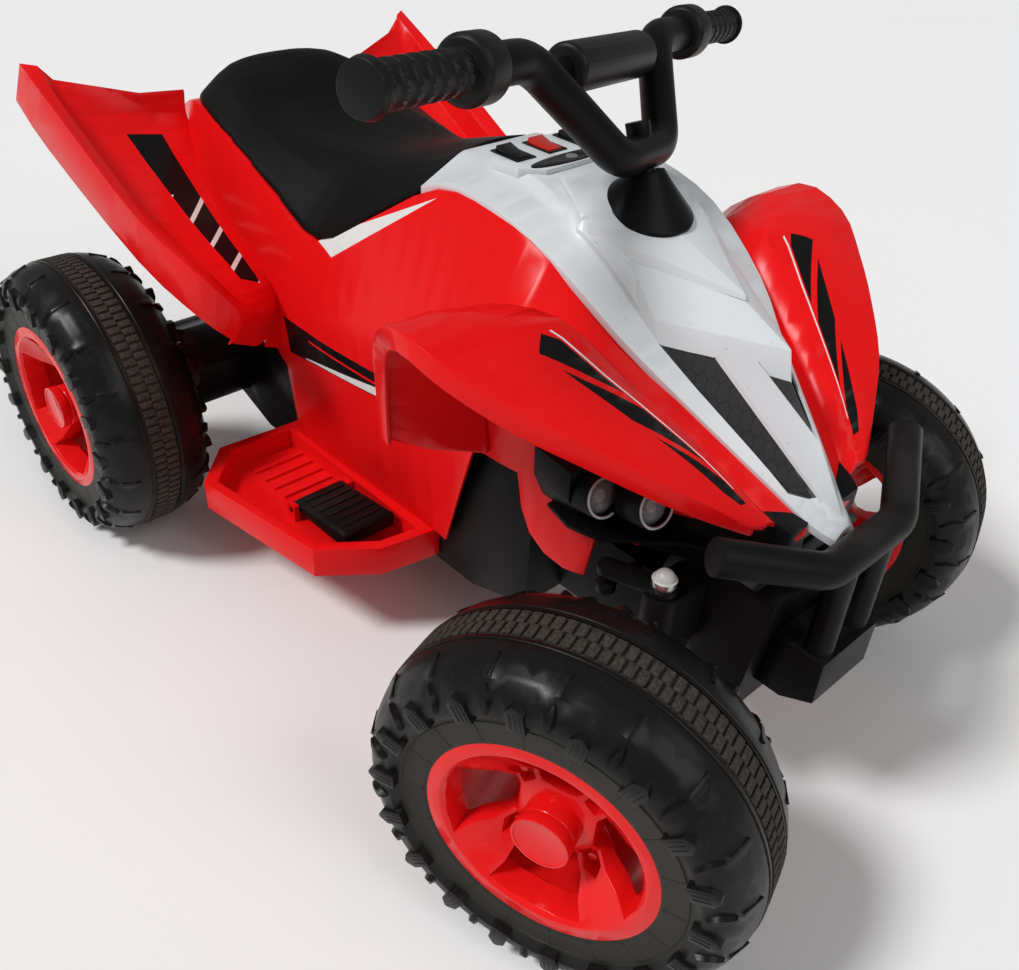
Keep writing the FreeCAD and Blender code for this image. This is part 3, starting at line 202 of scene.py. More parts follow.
def new_finish(name, **sockets):
    """A material with plain values on its shader, with that shader and the place on the piece."""
    material = bpy.data.materials.new(name)
    material.use_nodes = True
    tree = material.node_tree
    shader = tree.nodes["Principled BSDF"]
    for socket, value in sockets.items():
        shader.inputs[socket.replace("_", " ")].default_value = value
    place = Value(tree.nodes.new("ShaderNodeTexCoord").outputs["Object"])
    return material, shader, place


def feed(shader, **values):
    """Links values to sockets of a shader."""
    for socket, value in values.items():
        value.socket.id_data.links.new(value.socket, shader.inputs[socket.replace("_", " ")])


floor_paint, shader, place = new_finish("floor_paint", Base_Color=floor_white)
feed(shader, Roughness=place.noise(scale=3.0).between(0.65, 0.75))
floor.data.materials.append(floor_paint)

sky_white = (1.0, 1.0, 1.0, 1)
sky_strength = 0.24
lamps = (
    ("key_lamp", (-0.25, -0.62, 0.85), 13.0, 2.15),
    ("front_lamp", (0.75, 0.10, 0.60), 40.0, 0.75),
)
world = bpy.data.worlds.new("studio")
bpy.context.scene.world = world
world.use_nodes = True
sky = world.node_tree.nodes["Background"]
sky.inputs["Color"].default_value = sky_white
sky.inputs["Strength"].default_value = sky_strength
for lamp_name, toward_lamp, lamp_spread, lamp_strength in lamps:
    bpy.ops.object.light_add(type="SUN", location=toward_lamp)
    lamp = bpy.context.object
    lamp.name = lamp_name
    lamp.data.angle = math.radians(lamp_spread)
    lamp.data.energy = lamp_strength
    lamp.rotation_euler = Vector(toward_lamp).to_track_quat("Z", "Y").to_euler()

# The chassis tub, axle carrier, bumper, gearboxes and headlight housings are injection mouldings in black
# polypropylene with a fine grain from the mould. Dust settles on what faces up. They are screwed together.
black_colour = (0.007, 0.007, 0.0073, 1)
dust_colour = (0.42, 0.39, 0.36, 1)
shade_share = 0.82
coat_roughness = 0.08
rough_spread = 0.06
dust_roughness = 0.3
grain_depth = 0.0004
merge_distance = 0.00002
flat_angle = math.radians(0.15)
crease_angle = math.radians(40)
relax_rounds = 8
black_nodes = (
    "lower_chassis", "front_axle_carrier", "front_bumper", "right_headlight_housing",
    "left_headlight_housing", "right_gearbox", "left_gearbox")


def pick(*pieces):
    """Selects these pieces and no others, the first as the active one."""
    bpy.ops.object.select_all(action="DESELECT")
    for piece in pieces:
        piece.select_set(True)
    bpy.context.view_layer.objects.active = pieces[0]


def apply_modifier(piece, kind, **settings):
    """Adds a modifier to a piece, sets it and applies it."""
    pick(piece)
    modifier = piece.modifiers.new(kind.lower(), kind)
    for name, setting in settings.items():
        setattr(modifier, name, setting)
    bpy.ops.object.modifier_apply(modifier=modifier.name)


def smooth(piece, degrees=35):
    """Shades a piece smooth, apart from edges sharper than this."""
    pick(piece)
    bpy.ops.object.shade_smooth_by_angle(angle=math.radians(degrees))


def set_finish(piece, finish, body):
    """Gives a piece its finish and sets it on its body."""
    piece.data.materials.clear()
    piece.data.materials.append(finish)
    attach(piece, body)


def dress(node, finish, edge=0.0, smooth_deg=32, melt=0.0):
    """Stands a finished copy of a CAD node in its place: seams merged, edges rounded or melted, smooth."""
    source = frame["nodes"][node]
    piece = bpy.data.objects.new(node + "_finish", source.data.copy())
    bpy.context.scene.collection.objects.link(piece)
    pick(piece)
    bpy.ops.object.mode_set(mode="EDIT")
    bpy.ops.mesh.select_all(action="SELECT")
    bpy.ops.mesh.remove_doubles(threshold=merge_distance)
    bpy.ops.mesh.dissolve_limited(angle_limit=flat_angle)
    bpy.ops.object.mode_set(mode="OBJECT")
    if melt:
        apply_modifier(piece, "REMESH", mode="VOXEL", voxel_size=melt)
        apply_modifier(piece, "SMOOTH", iterations=relax_rounds)
    elif edge:
        apply_modifier(piece, "BEVEL", width=edge, segments=2, limit_method="ANGLE", angle_limit=crease_angle,
                       use_clamp_overlap=True)
    smooth(piece, smooth_deg)
    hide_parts(node)
    set_finish(piece, finish, source["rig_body"])


def moulded(name, colour, roughness, grain, dust=0.0, coat=0.0, gloss=0.09):
    """Moulded plastic: a colour that varies a little, mould grain, and dust on faces that look up."""
    material, shader, place = new_finish(
        name, Coat_Weight=coat, Coat_Roughness=coat_roughness, Specular_IOR_Level=gloss)
    blotch = place.noise(scale=9.0, detail=4.0, roughness=0.6)
    dusty = place.upward(low=0.2, high=0.95) * blotch.step(low=0.42, high=0.75) * dust
    shade = tuple(channel * shade_share for channel in colour[:3]) + (1,)
    feed(shader, Base_Color=dusty.mix(blotch.mix(colour, shade), dust_colour))
    rough = place.noise(scale=26.0).between(roughness - rough_spread, roughness + rough_spread)
    feed(shader, Roughness=rough + dusty * dust_roughness)
    feed(shader, Normal=place.noise(scale=1400.0, detail=2.0).bump(strength=grain, distance=grain_depth))
    return material


black_moulding = moulded("black_moulding", black_colour, roughness=0.40, grain=0.25, dust=0.05)
for node in black_nodes:
    dress(node, black_moulding, edge=0.0012)

# A black shroud closes the room between the axle carrier and the nose. It is moulded in the same plastic,
# with rounded edges, and its upper face is narrower, so that it lies under the hood.
shroud_low = Vector((0.2880, -0.0700, 0.2550))
shroud_high = Vector((0.3600, 0.0700, 0.2760))
shroud_middle = (shroud_low + shroud_high) / 2
shroud_top_share = 0.60
shroud_edge = 0.004
bpy.ops.object.select_all(action="DESELECT")
bpy.ops.mesh.primitive_cube_add(size=1, location=shroud_middle)
shroud = bpy.context.object
shroud.name = "nose_shroud"
shroud.dimensions = shroud_high - shroud_low
bpy.ops.object.transform_apply(location=True, rotation=True, scale=True)
bpy.ops.object.mode_set(mode="EDIT")
bpy.ops.mesh.select_all(action="DESELECT")
bpy.ops.object.mode_set(mode="OBJECT")
for vertex in shroud.data.vertices:
    vertex.select = vertex.co.z > shroud_middle.z
bpy.ops.object.mode_set(mode="EDIT")
bpy.ops.transform.resize(value=(1.0, shroud_top_share, 1.0))
bpy.ops.mesh.select_all(action="SELECT")
bpy.ops.mesh.bevel(offset=shroud_edge, segments=3, affect="EDGES")
bpy.ops.object.mode_set(mode="OBJECT")
smooth(shroud)
set_finish(shroud, black_moulding, "chassis")

# The rear axle, nuts, motor cans and screws are zinc-plated steel, dull and slightly mottled. The knuckles,
# tie rod and column are steel bar with a black coat.
zinc = (0.50, 0.50, 0.49, 1)
zinc_shade = (0.36, 0.35, 0.33, 1)
coat_black = (0.008, 0.008, 0.008, 1)
plated_steel, shader, place = new_finish("plated_steel", Metallic=1.0)
mottle = place.noise(scale=140.0, detail=4.0, roughness=0.6)
feed(shader, Base_Color=mottle.mix(zinc, zinc_shade))
feed(shader, Roughness=mottle.between(0.25, 0.50))
feed(shader, Normal=place.noise(scale=900.0).bump(strength=0.1, distance=0.0003))
for node in ("rear_axle", "rear_axle_nuts", "drive_motors", "body_screws"):
    dress(node, plated_steel, edge=0.0005)
black_coat = moulded("black_coat", coat_black, roughness=0.34, grain=0.12, dust=0.04)
for node in ("right_knuckle", "left_knuckle", "tie_rod", "steering_column"):
    dress(node, black_coat, edge=0.0005)

# Each king pin has a plated steel nut under a dome of white plastic, which is pressed on. The same node holds
# the axle nut inside the wheel, which is plated all over.
dome_foot = 0.2386
dome_blend = 0.0004
dome_white = (0.74, 0.74, 0.72, 1)
capped_nut, shader, place = new_finish("capped_nut")
dome = place.parts()[2].step(dome_foot, dome_foot + dome_blend)
feed(shader, Base_Color=dome.mix(zinc, dome_white))
feed(shader, Metallic=1 - dome, Roughness=place.noise(scale=120.0).between(0.24, 0.39))
for node in ("right_knuckle_nuts", "left_knuckle_nuts"):
    dress(node, capped_nut, edge=0.0005)

# The battery, control box, speaker and loom sit in the tub, out of sight. They are plain dark plastic cases
# and a sleeved wire.
case_grey = (0.05, 0.05, 0.055, 1)
sleeve_black = (0.02, 0.02, 0.02, 1)
dark_case = moulded("dark_case", case_grey, roughness=0.5, grain=0.2)
for node in ("battery", "control_box"):
    dress(node, dark_case, edge=0.0015)
dress("speaker", black_moulding, edge=0.0006)
loom_sleeve = moulded("loom_sleeve", sleeve_black, roughness=0.45, grain=0.3)
dress("wiring_loom", loom_sleeve)

# The body, fenders and footrests are glossy red polypropylene, moulded in colour and screwed to the tub. Film
# stickers in black, with white pinstripes, lie flush on the flanks and fenders.
red_colour = (0.86, 0.008, 0.009, 1)
red_shade = (0.78, 0.006, 0.008, 1)
red_dust = (0.55, 0.30, 0.26, 1)
red_dustiness = 0.03
film_black = (0.006, 0.006, 0.0065, 1)
film_white = (0.78, 0.78, 0.76, 1)


def red_moulding(name, sticker=None):
    """Glossy red plastic; sticker gives the black and the white of its film, from the place on the bike."""
    material, shader, place = new_finish(
        name, Coat_Weight=0.10, Coat_Roughness=0.22, Specular_IOR_Level=0.08)
    tint = place.noise(scale=6.0, detail=4.0, roughness=0.6).mix(red_colour, red_shade)
    patches = place.noise(scale=14.0, detail=5.0, roughness=0.65).step(low=0.5, high=0.8)
    dusty = place.upward(low=0.3, high=0.95) * patches * red_dustiness
    colour = dusty.mix(tint, red_dust)
    if sticker:
        black, white = sticker(place)
        colour = black.mix(colour, film_black)
        colour = white.mix(colour, film_white)
    feed(shader, Base_Color=colour, Roughness=place.noise(scale=30.0).between(0.20, 0.30) + dusty)
    feed(shader, Normal=place.noise(scale=70.0, detail=2.0).bump(strength=0.06, distance=0.0008))
    return material


def flank_sticker(place):
    """On each flank a tapered black bar with a red slash and a white swoosh, and a white wedge under the
    saddle. The body is black under the nose."""
    bar_rear, swoosh_rear, slash_rear, bar_front, film_front = -0.184, -0.154, -0.139, -0.020, -0.022
    flank_side, wedge_side = 0.098, 0.080
    swoosh_foot, slash_half_width = 0.0012, 0.0014
    wedge_rear, wedge_front, saddle_rear, chin_rear, chin_side = -0.106, 0.030, -0.105, 0.262, 0.100
    x, y, z = place.parts()
    on_flank = abs(y) > flank_side
    above = z - x.line(bar_rear, height=0.223, slope=0.135)
    below = x.line(bar_rear, height=0.2645, slope=0.050) - z
    bar = (above > 0.0) * (below > 0.0) * x.within(bar_rear, bar_front) * on_flank
    swoosh = above.within(swoosh_foot, x.line(bar_rear, height=0.0002, slope=0.075))
    swoosh = swoosh * x.within(swoosh_rear, film_front) * on_flank
    slash = abs(below - x.line(bar_rear, height=0.010, slope=0.02)) < slash_half_width
    slash = slash * x.within(slash_rear, film_front) * on_flank
    over_saddle = z - x.line(saddle_rear, height=0.3735, slope=0.545)
    wedge = over_saddle.within(x.line(wedge_front, height=0.0, slope=0.185), 0.0)
    wedge = wedge * (x > over_saddle.line(0.0, height=wedge_rear, slope=-0.95)) * (abs(y) > wedge_side)
    under_nose = (x > chin_rear) * (z < abs(y).line(chin_side, height=0.282, slope=-0.05))
    return (bar * (1 - slash)).most(under_nose), swoosh.most(wedge)


def front_fender_sticker(place):
    """A black blade down the middle of the wing, cut across by red gaps, with a white pinstripe beside it."""
    wing_rear, blade_rear, blade_front, stripe_rear, stripe_front = 0.146, 0.185, 0.335, 0.20, 0.325
    film_foot = 0.30
    blade_shares, stripe_shares = (0.30, 0.72), (0.24, 0.27)
    gaps_a_metre, gap_lean, gap_share = 18.0, 1.6, 0.24
    x, y, z = place.parts()
    root = x.line(wing_rear, height=0.138, slope=-0.408)
    width = x.line(wing_rear, height=0.088, slope=-0.348)
    across = (abs(y) - root) / width
    on_top = z > film_foot
    blade = across.within(*blade_shares) * on_top
    blade = blade * x.within(across.line(0.0, height=blade_rear, slope=0.04), blade_front)
    cut = (x * gaps_a_metre + across * gap_lean).fraction() > gap_share
    stripe = across.within(*stripe_shares) * x.within(stripe_rear, stripe_front) * on_top
    return blade * cut, stripe


def rear_fender_sticker(place):
    """A black blade along the floor of the fender, with white chevrons near its end."""
    fender_rear, fender_length, fender_root = -0.40, 0.23, 0.118
    blade_shares, chevron_start_share = (0.16, 0.90), 0.45
    chevron_count, chevron_lean, chevron_share = 7.0, 30.0, 0.16
    x, y, _ = place.parts()
    along = (x - fender_rear) / fender_length
    across = abs(y) - fender_root
    inner_edge = along.line(0.0, height=0.004, slope=0.004)
    outer_edge = along.line(0.0, height=0.044, slope=-0.018)
    blade = across.within(inner_edge, outer_edge) * along.within(*blade_shares)
    chevron = (along * chevron_count - across * chevron_lean).fraction() < chevron_share
    return blade, chevron * (along > chevron_start_share) * blade


dress("body_shell", red_moulding("red_body", flank_sticker), edge=0.0012)
red_front = red_moulding("red_front_fender", front_fender_sticker)
red_rear = red_moulding("red_rear_fender", rear_fender_sticker)
red_tray = red_moulding("red_footrest")
for hand in ("right", "left"):
    dress(hand + "_front_fender", red_front, edge=0.0020, smooth_deg=40)
    dress(hand + "_rear_fender", red_rear, edge=0.0024, smooth_deg=40)
    dress(hand + "_footrest", red_tray, edge=0.0028)

# The hood cover is a white moulding over the nose. A crown stands on it, a thin white shell with an island, a
# pointed brow with a steep face, and two ribs that leave a notch and meet above the nose. Black film with a
# honeycomb lies in the notch and beside the ribs.
crown_half = {
    "island_rear": (0.1860, 0.0000, 0.4558), "island_side": (0.1500, 0.0480, 0.4665),
    "island_corner": (0.1580, 0.0590, 0.4590), "island_tip": (0.2600, 0.0000, 0.4285),
    "step_side": (0.1470, 0.0630, 0.4500), "step_corner": (0.1630, 0.0620, 0.4460),
    "step_tip": (0.2615, 0.0000, 0.4235), "brow_shoulder": (0.1920, 0.0470, 0.4410),
    "brow_corner": (0.2240, 0.0540, 0.4110), "brow_tip": (0.3045, 0.0000, 0.4040),
    "face_corner": (0.2321, 0.0565, 0.3960), "face_middle": (0.2640, 0.0300, 0.3893),
    "face_tip": (0.3104, 0.0000, 0.3809), "rib_outer": (0.2655, 0.0290, 0.3928),
    "rib_inner": (0.2877, 0.0150, 0.3955), "notch_side": (0.2895, 0.0145, 0.3845),
    "ribs_meet": (0.3430, 0.0000, 0.3476), "notch_end": (0.3410, 0.0000, 0.3450),
    "rib_foot": (0.3580, 0.0112, 0.3140), "strip_foot": (0.3570, 0.0118, 0.3115),
    "strip_corner": (0.3420, 0.0260, 0.3165), "nose_side": (0.3660, 0.0130, 0.2990),
    "nose_tip": (0.3795, 0.0000, 0.2925),
}
crown_faces = (
    ("island_rear", "island_tip", "island_corner", "island_side"),
    ("island_side", "island_corner", "step_corner", "step_side"),
    ("island_corner", "island_tip", "step_tip", "step_corner"),
    ("step_corner", "step_tip", "brow_shoulder"),
    ("brow_shoulder", "step_tip", "brow_tip", "brow_corner"),
    ("step_corner", "brow_shoulder", "brow_corner", "face_corner"),
    ("brow_corner", "rib_outer", "face_middle", "face_corner"),
    ("brow_corner", "brow_tip", "rib_inner", "rib_outer"),
    ("brow_tip", "face_tip", "notch_side", "rib_inner"),
    ("face_corner", "face_middle", "strip_foot", "strip_corner"),
    ("face_middle", "rib_outer", "rib_foot", "strip_foot"),
    ("rib_outer", "rib_inner", "ribs_meet", "rib_foot"),
    ("rib_inner", "notch_side", "notch_end", "ribs_meet"),
    ("notch_side", "face_tip", "notch_end"),
    ("ribs_meet", "nose_tip", "rib_foot"),
    ("rib_foot", "nose_tip", "nose_side", "strip_foot"),
)
crown_wall = 0.0020
crown_edge = 0.0012
crown_crease = math.radians(14)
crown_seam = 0.00005
cell = 0.0098
cell_row = cell * math.sqrt(3)
cell_wall_shares = (0.440, 0.485)
slope_stretch = 1.25
hood_white = (0.76, 0.79, 0.81, 1)
hood_shade = (0.68, 0.71, 0.73, 1)
speck_colour = (0.30, 0.28, 0.26, 1)
speck_strength = 0.25
cell_grey = (0.020, 0.019, 0.019, 1)
cell_wall_black = (0.004, 0.004, 0.004, 1)
film_roughness = 0.08
white_plastic, shader, place = new_finish("white_hood", Coat_Weight=0.15, Coat_Roughness=0.15)
x, y, _ = place.parts()
beside = abs(y)


def edge_x(corner, other):
    """The x of the line through two corners of the crown, at a distance from the centreline."""
    (first_x, first_y, _), (second_x, second_y, _) = crown_half[corner], crown_half[other]
    return beside.line(first_y, height=first_x, slope=(second_x - first_x) / (second_y - first_y))


def edge_y(corner, other):
    """The distance from the centreline of the line through two corners of the crown, at an x."""
    (first_x, first_y, _), (second_x, second_y, _) = crown_half[corner], crown_half[other]
    return x.line(first_x, height=first_y, slope=(second_y - first_y) / (second_x - first_x))


def cell_offset(shift):
    """Offsets from the nearest cell middle of one of the two lattices that make a honeycomb."""
    across = (y + shift * cell).modulo(cell) - cell / 2
    down = (x * slope_stretch + shift * cell_row).modulo(cell_row) - cell_row / 2
    return across, down, across * across + down * down


strip = x.within(edge_x("face_corner", "face_middle"), edge_x("strip_corner", "strip_foot"))
strip = strip * beside.within(edge_y("face_middle", "strip_foot"), edge_y("face_corner", "strip_corner"))
notch = (beside < edge_y("notch_end", "notch_side")) * (x > edge_x("face_tip", "notch_side"))
strip = strip.most(notch)
near_across, near_down, near_reach = cell_offset(0.0)
far_across, far_down, far_reach = cell_offset(0.5)
second = far_reach < near_reach
across = abs(near_across * (1 - second) + far_across * second)
down = abs(near_down * (1 - second) + far_down * second)
slanting = across * math.cos(math.radians(60)) + down * math.sin(math.radians(60))
wall = across.most(slanting).step(*(cell * share for share in cell_wall_shares))
speck = place.noise(scale=210.0, detail=2.0).step(low=0.70, high=0.74) * speck_strength
white = place.noise(scale=8.0, detail=4.0, roughness=0.6).mix(hood_white, hood_shade)
white = speck.mix(white, speck_colour)
film = wall.mix(cell_grey, cell_wall_black)
feed(shader, Base_Color=strip.mix(white, film))
feed(shader, Roughness=place.noise(scale=40.0).between(0.30, 0.40) + strip * film_roughness)
feed(shader, Normal=place.noise(scale=900.0).bump(strength=0.08, distance=0.0003))
dress("hood_cover", white_plastic, edge=0.0015)

corner_names = list(crown_half)
crown_mesh = bpy.data.meshes.new("hood_crown")
crown_mesh.from_pydata(
    list(crown_half.values()), [],
    [[corner_names.index(corner) for corner in face] for face in crown_faces])
crown = bpy.data.objects.new("hood_crown", crown_mesh)
bpy.context.scene.collection.objects.link(crown)
apply_modifier(crown, "MIRROR", use_axis=(False, True, False), merge_threshold=crown_seam)
bpy.ops.object.mode_set(mode="EDIT")
bpy.ops.mesh.select_all(action="SELECT")
bpy.ops.mesh.normals_make_consistent(inside=False)
bpy.ops.object.mode_set(mode="OBJECT")
if sum(face.normal.z * face.area for face in crown.data.polygons) < 0:
    crown.data.flip_normals()
apply_modifier(crown, "SOLIDIFY", thickness=crown_wall, offset=-1.0)
apply_modifier(crown, "BEVEL", width=crown_edge, segments=3, limit_method="ANGLE", angle_limit=crown_crease)
smooth(crown, 30)
set_finish(crown, white_plastic, "chassis")

# The saddle is one black moulding with soft edges and a leather-like grain in its skin. It is screwed to the
# body.
saddle_black = (0.005, 0.005, 0.005, 1)
saddle_worn = (0.008, 0.0075, 0.007, 1)
pore_scale = 620.0
saddle_skin, shader, place = new_finish("saddle_skin", Specular_IOR_Level=0.06)
pore_sockets = {"Vector": place, "Scale": pore_scale}
pores = place.node("ShaderNodeTexVoronoi", {"feature": "DISTANCE_TO_EDGE"}, pore_sockets)
feed(shader, Base_Color=place.noise(scale=7.0).mix(saddle_black, saddle_worn))
feed(shader, Roughness=place.noise(scale=18.0, detail=4.0).between(0.34, 0.54))
feed(shader, Normal=pores.step(low=0.0, high=0.2).bump(strength=0.18, distance=0.0004))
dress("seat", saddle_skin, smooth_deg=50, melt=0.0025)

# The dash is a white plate on the hood behind the handlebar. Black bezels frame its rocker switches, and a
# black oval panel with a hole for the push button is glued on in front of them. The power rocker is red.
rocker_red = (0.62, 0.014, 0.008, 1)
rocker_black = (0.006, 0.006, 0.006, 1)
button_grey = (0.20, 0.20, 0.21, 1)
dash_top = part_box("dash_panel")[1].z
button_low, button_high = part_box("music_button")
dress("dash_panel", white_plastic, edge=0.0012)
gloss_red = moulded("gloss_red", rocker_red, roughness=0.16, grain=0.05, coat=0.5)
gloss_black = moulded("gloss_black", rocker_black, roughness=0.22, grain=0.05, dust=0.03, coat=0.2)
grey_button = moulded("grey_button", button_grey, roughness=0.3, grain=0.1)
dress("power_rocker", gloss_red, edge=0.0008)
dress("direction_rocker", gloss_black, edge=0.0008)
dress("speed_rocker", gloss_black, edge=0.0008)
dress("music_button", grey_button, edge=0.0006)

bezel_length = 0.0268
bezel_width = 0.0160
bezel_wall = 0.0022
bezel_height = 0.0012
bezel_edge = 0.0004
for switch in ("power_rocker", "direction_rocker", "speed_rocker"):
    low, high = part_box(switch)
    middle = (low + high) / 2
    bpy.ops.object.select_all(action="DESELECT")
    bpy.ops.mesh.primitive_plane_add(size=1, location=(middle.x, middle.y, dash_top))
    bezel = bpy.context.object
    bezel.name = switch + "_bezel"
    bpy.ops.transform.resize(value=(bezel_length + 2 * bezel_wall, bezel_width + 2 * bezel_wall, 1))
    bpy.ops.object.transform_apply(location=True, rotation=True, scale=True)
    bpy.ops.object.mode_set(mode="EDIT")
    bpy.ops.mesh.select_all(action="SELECT")
    bpy.ops.mesh.inset(thickness=bezel_wall)
    bpy.ops.mesh.delete(type="FACE")
    bpy.ops.mesh.select_all(action="SELECT")
    bpy.ops.mesh.extrude_region_move(TRANSFORM_OT_translate={"value": (0, 0, bezel_height)})
    bpy.ops.mesh.select_all(action="SELECT")
    bpy.ops.mesh.normals_make_consistent(inside=False)
    bpy.ops.object.mode_set(mode="OBJECT")
    apply_modifier(bezel, "BEVEL", width=bezel_edge, segments=2)
    smooth(bezel)
    set_finish(bezel, gloss_black, "chassis")

panel_length = 0.0170
panel_width = 0.0860
panel_height = 0.0008
panel_edge = 0.0002
panel_place = ((button_low.x + button_high.x) / 2, 0, dash_top + panel_height / 2)
hole_radius = 0.0056
hole_depth = 4 * panel_height
bpy.ops.object.select_all(action="DESELECT")
bpy.ops.mesh.primitive_cylinder_add(vertices=64, radius=0.5, depth=panel_height, location=panel_place)
panel = bpy.context.object
panel.name = "button_panel"
bpy.ops.transform.resize(value=(panel_length, panel_width, 1))
bpy.ops.object.transform_apply(location=True, rotation=True, scale=True)
bpy.ops.mesh.primitive_cylinder_add(vertices=40, radius=hole_radius, depth=hole_depth, location=panel_place)
button_hole = bpy.context.object
apply_modifier(panel, "BOOLEAN", operation="DIFFERENCE", object=button_hole, solver="EXACT")
pick(button_hole)
bpy.ops.object.delete()
apply_modifier(panel, "BEVEL", width=panel_edge, segments=2, limit_method="ANGLE")
smooth(panel)
set_finish(panel, gloss_black, "chassis")

# Each headlight cup holds a bright reflector bowl with a white lamp, behind a clear domed lens. The lens is
# pressed into the mouth of the cup, and a bright metal rim holds its edge.
lamp_mouths = (Vector((0.2468, 0.1109, 0.2947)), Vector((0.2820, 0.0950, 0.2986)))
lamp_facing = Vector((1, 0.15, 0.32)).normalized()
bowl_radius = 0.0131
bowl_depth = 0.0085
bowl_wall = 0.0004
bowl_setback = 0.0062
rim_radius = 0.0151
rim_thickness = 0.0013
rim_setback = 0.0004
lens_grey = (0.62, 0.65, 0.68, 1)
lamp_colour = (0.80, 0.80, 0.76, 1)
mirror_bright = (0.78, 0.79, 0.80, 1)
mirror_dull = (0.66, 0.67, 0.69, 1)
clear_lens, shader, place = new_finish("clear_lens", Base_Color=lens_grey, Alpha=0.30, Specular_IOR_Level=0.8)
feed(shader, Roughness=place.noise(scale=60.0).between(0.02, 0.08))
dress("headlight_lenses", clear_lens, edge=0.0008)
lamp_white = moulded("lamp_white", lamp_colour, roughness=0.2, grain=0.05)
dress("headlight_lamps", lamp_white)
bright_metal, shader, place = new_finish("bright_metal", Metallic=0.55)
feed(shader, Base_Color=place.noise(scale=90.0).mix(mirror_bright, mirror_dull))
feed(shader, Roughness=place.noise(scale=300.0).between(0.30, 0.45))
bpy.ops.object.select_all(action="DESELECT")
bpy.ops.mesh.primitive_uv_sphere_add(segments=28, ring_count=14, radius=1)
bowl = bpy.context.object
bpy.ops.object.mode_set(mode="EDIT")
bpy.ops.mesh.select_all(action="SELECT")
bpy.ops.mesh.bisect(plane_co=(0, 0, 0), plane_no=(0, 0, 1), clear_outer=True)
bpy.ops.mesh.select_all(action="SELECT")
bpy.ops.transform.resize(value=(bowl_radius, bowl_radius, bowl_depth))
bpy.ops.object.mode_set(mode="OBJECT")
apply_modifier(bowl, "SOLIDIFY", thickness=bowl_wall, offset=-1.0)
bpy.ops.mesh.primitive_torus_add(
    major_segments=48, minor_segments=10, major_radius=rim_radius, minor_radius=rim_thickness)
lens_rim = bpy.context.object
lamp_patterns = ((bowl, "reflector", bowl_setback), (lens_rim, "lens_rim", rim_setback))
for hand, mirror in (("left", 1), ("right", -1)):
    for number, mouth in enumerate(lamp_mouths, 1):
        seat = Vector((mouth.x, mouth.y * mirror, mouth.z))
        facing = Vector((lamp_facing.x, lamp_facing.y * mirror, lamp_facing.z))
        turn = facing.to_track_quat("Z", "Y").to_matrix().to_4x4()
        for pattern, name, setback in lamp_patterns:
            piece = bpy.data.objects.new(f"{hand}_{name}_{number}", pattern.data.copy())
            bpy.context.scene.collection.objects.link(piece)
            piece.data.transform(Matrix.Translation(seat - facing * setback) @ turn)
            smooth(piece)
            set_finish(piece, bright_metal, "chassis")
pick(bowl, lens_rim)
bpy.ops.object.delete()

# The handlebar is a black plastic-coated tube, bolted to the column. Grips and pad are matt rubber sleeves
# pushed on to it, and a boot on the hood covers the column.
bar_black = (0.006, 0.006, 0.0063, 1)
rubber_black = (0.008, 0.008, 0.008, 1)
bar_coat = moulded("bar_coat", bar_black, roughness=0.36, grain=0.1, gloss=0.10)
grip_rubber = moulded("grip_rubber", rubber_black, roughness=0.42, grain=0.08, gloss=0.2)
for node in ("handlebar", "handlebar_bolt", "steering_boot"):
    dress(node, bar_coat, edge=0.0008)
for node in ("right_grip", "left_grip", "crossbar_pad"):
    dress(node, grip_rubber, edge=0.0006)

# The accelerator pedal is a black wedge of moulded plastic on the right footrest, hinged at its heel. Raised
# ribs across its sole stop a shoe from slipping.
sole_rib_count = 6
sole_rib_size = (0.0046, 0.046, 0.0030)
sole_rib_edge = 0.0007
heel_height = 0.0090
dress("accelerator_pedal", black_moulding, edge=0.001)
pedal_low, pedal_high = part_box("accelerator_pedal")
sole_start = Vector((pedal_low.x, 0, pedal_low.z + heel_height))
sole_end = Vector((pedal_high.x, 0, pedal_high.z))
sole_slope = math.atan2(sole_end.z - sole_start.z, sole_end.x - sole_start.x)
sole_middle = (pedal_low.y + pedal_high.y) / 2
lean = Matrix.Rotation(-sole_slope, 4, "Y")
for number in range(1, sole_rib_count + 1):
    centre = sole_start.lerp(sole_end, number / (sole_rib_count + 1))
    bpy.ops.object.select_all(action="DESELECT")
    bpy.ops.mesh.primitive_cube_add(size=1)
    rib = bpy.context.object
    rib.name = f"pedal_rib_{number}"
    bpy.ops.object.mode_set(mode="EDIT")
    bpy.ops.mesh.select_all(action="SELECT")
    bpy.ops.transform.resize(value=sole_rib_size)
    bpy.ops.mesh.bevel(offset=sole_rib_edge, segments=2, affect="EDGES")
    bpy.ops.object.mode_set(mode="OBJECT")
    rib.data.transform(Matrix.Translation((centre.x, sole_middle, centre.z)) @ lean)
    smooth(rib)
    set_finish(rib, black_moulding, "pedal")

# Each wheel is a hollow black tyre moulding with lugs on its walls, a rubber band let in round its crown for
# grip and quiet, a red spoked rim and a push-on hub cap. The band is grey-brown rubber, with two rows of
# narrow bars that stand close together, one row half a pitch on from the other.
hubs = {joint["name"].removesuffix("_spin"): (Vector(joint["pos_m"]), Vector(joint["axis"]))
        for joint in frame["joints"] if joint["name"].endswith("_spin")}
bar_count = 108
bar_size = (0.0040, 0.0118, 0.0060)
bar_radius = 0.1446
bar_edge = 0.0005
bar_rows = ((-0.0062, 0.0), (0.0062, 0.5))
band_radius = 0.1442
band_width = 0.0276
band_dark = (0.020, 0.017, 0.014, 1)
band_pale = (0.075, 0.063, 0.052, 1)
tread_rubber, shader, place = new_finish("tread_rubber", Specular_IOR_Level=0.25)
grit = place.noise(scale=420.0, detail=5.0, roughness=0.7)
feed(shader, Base_Color=grit.step(low=0.3, high=0.75).mix(band_dark, band_pale))
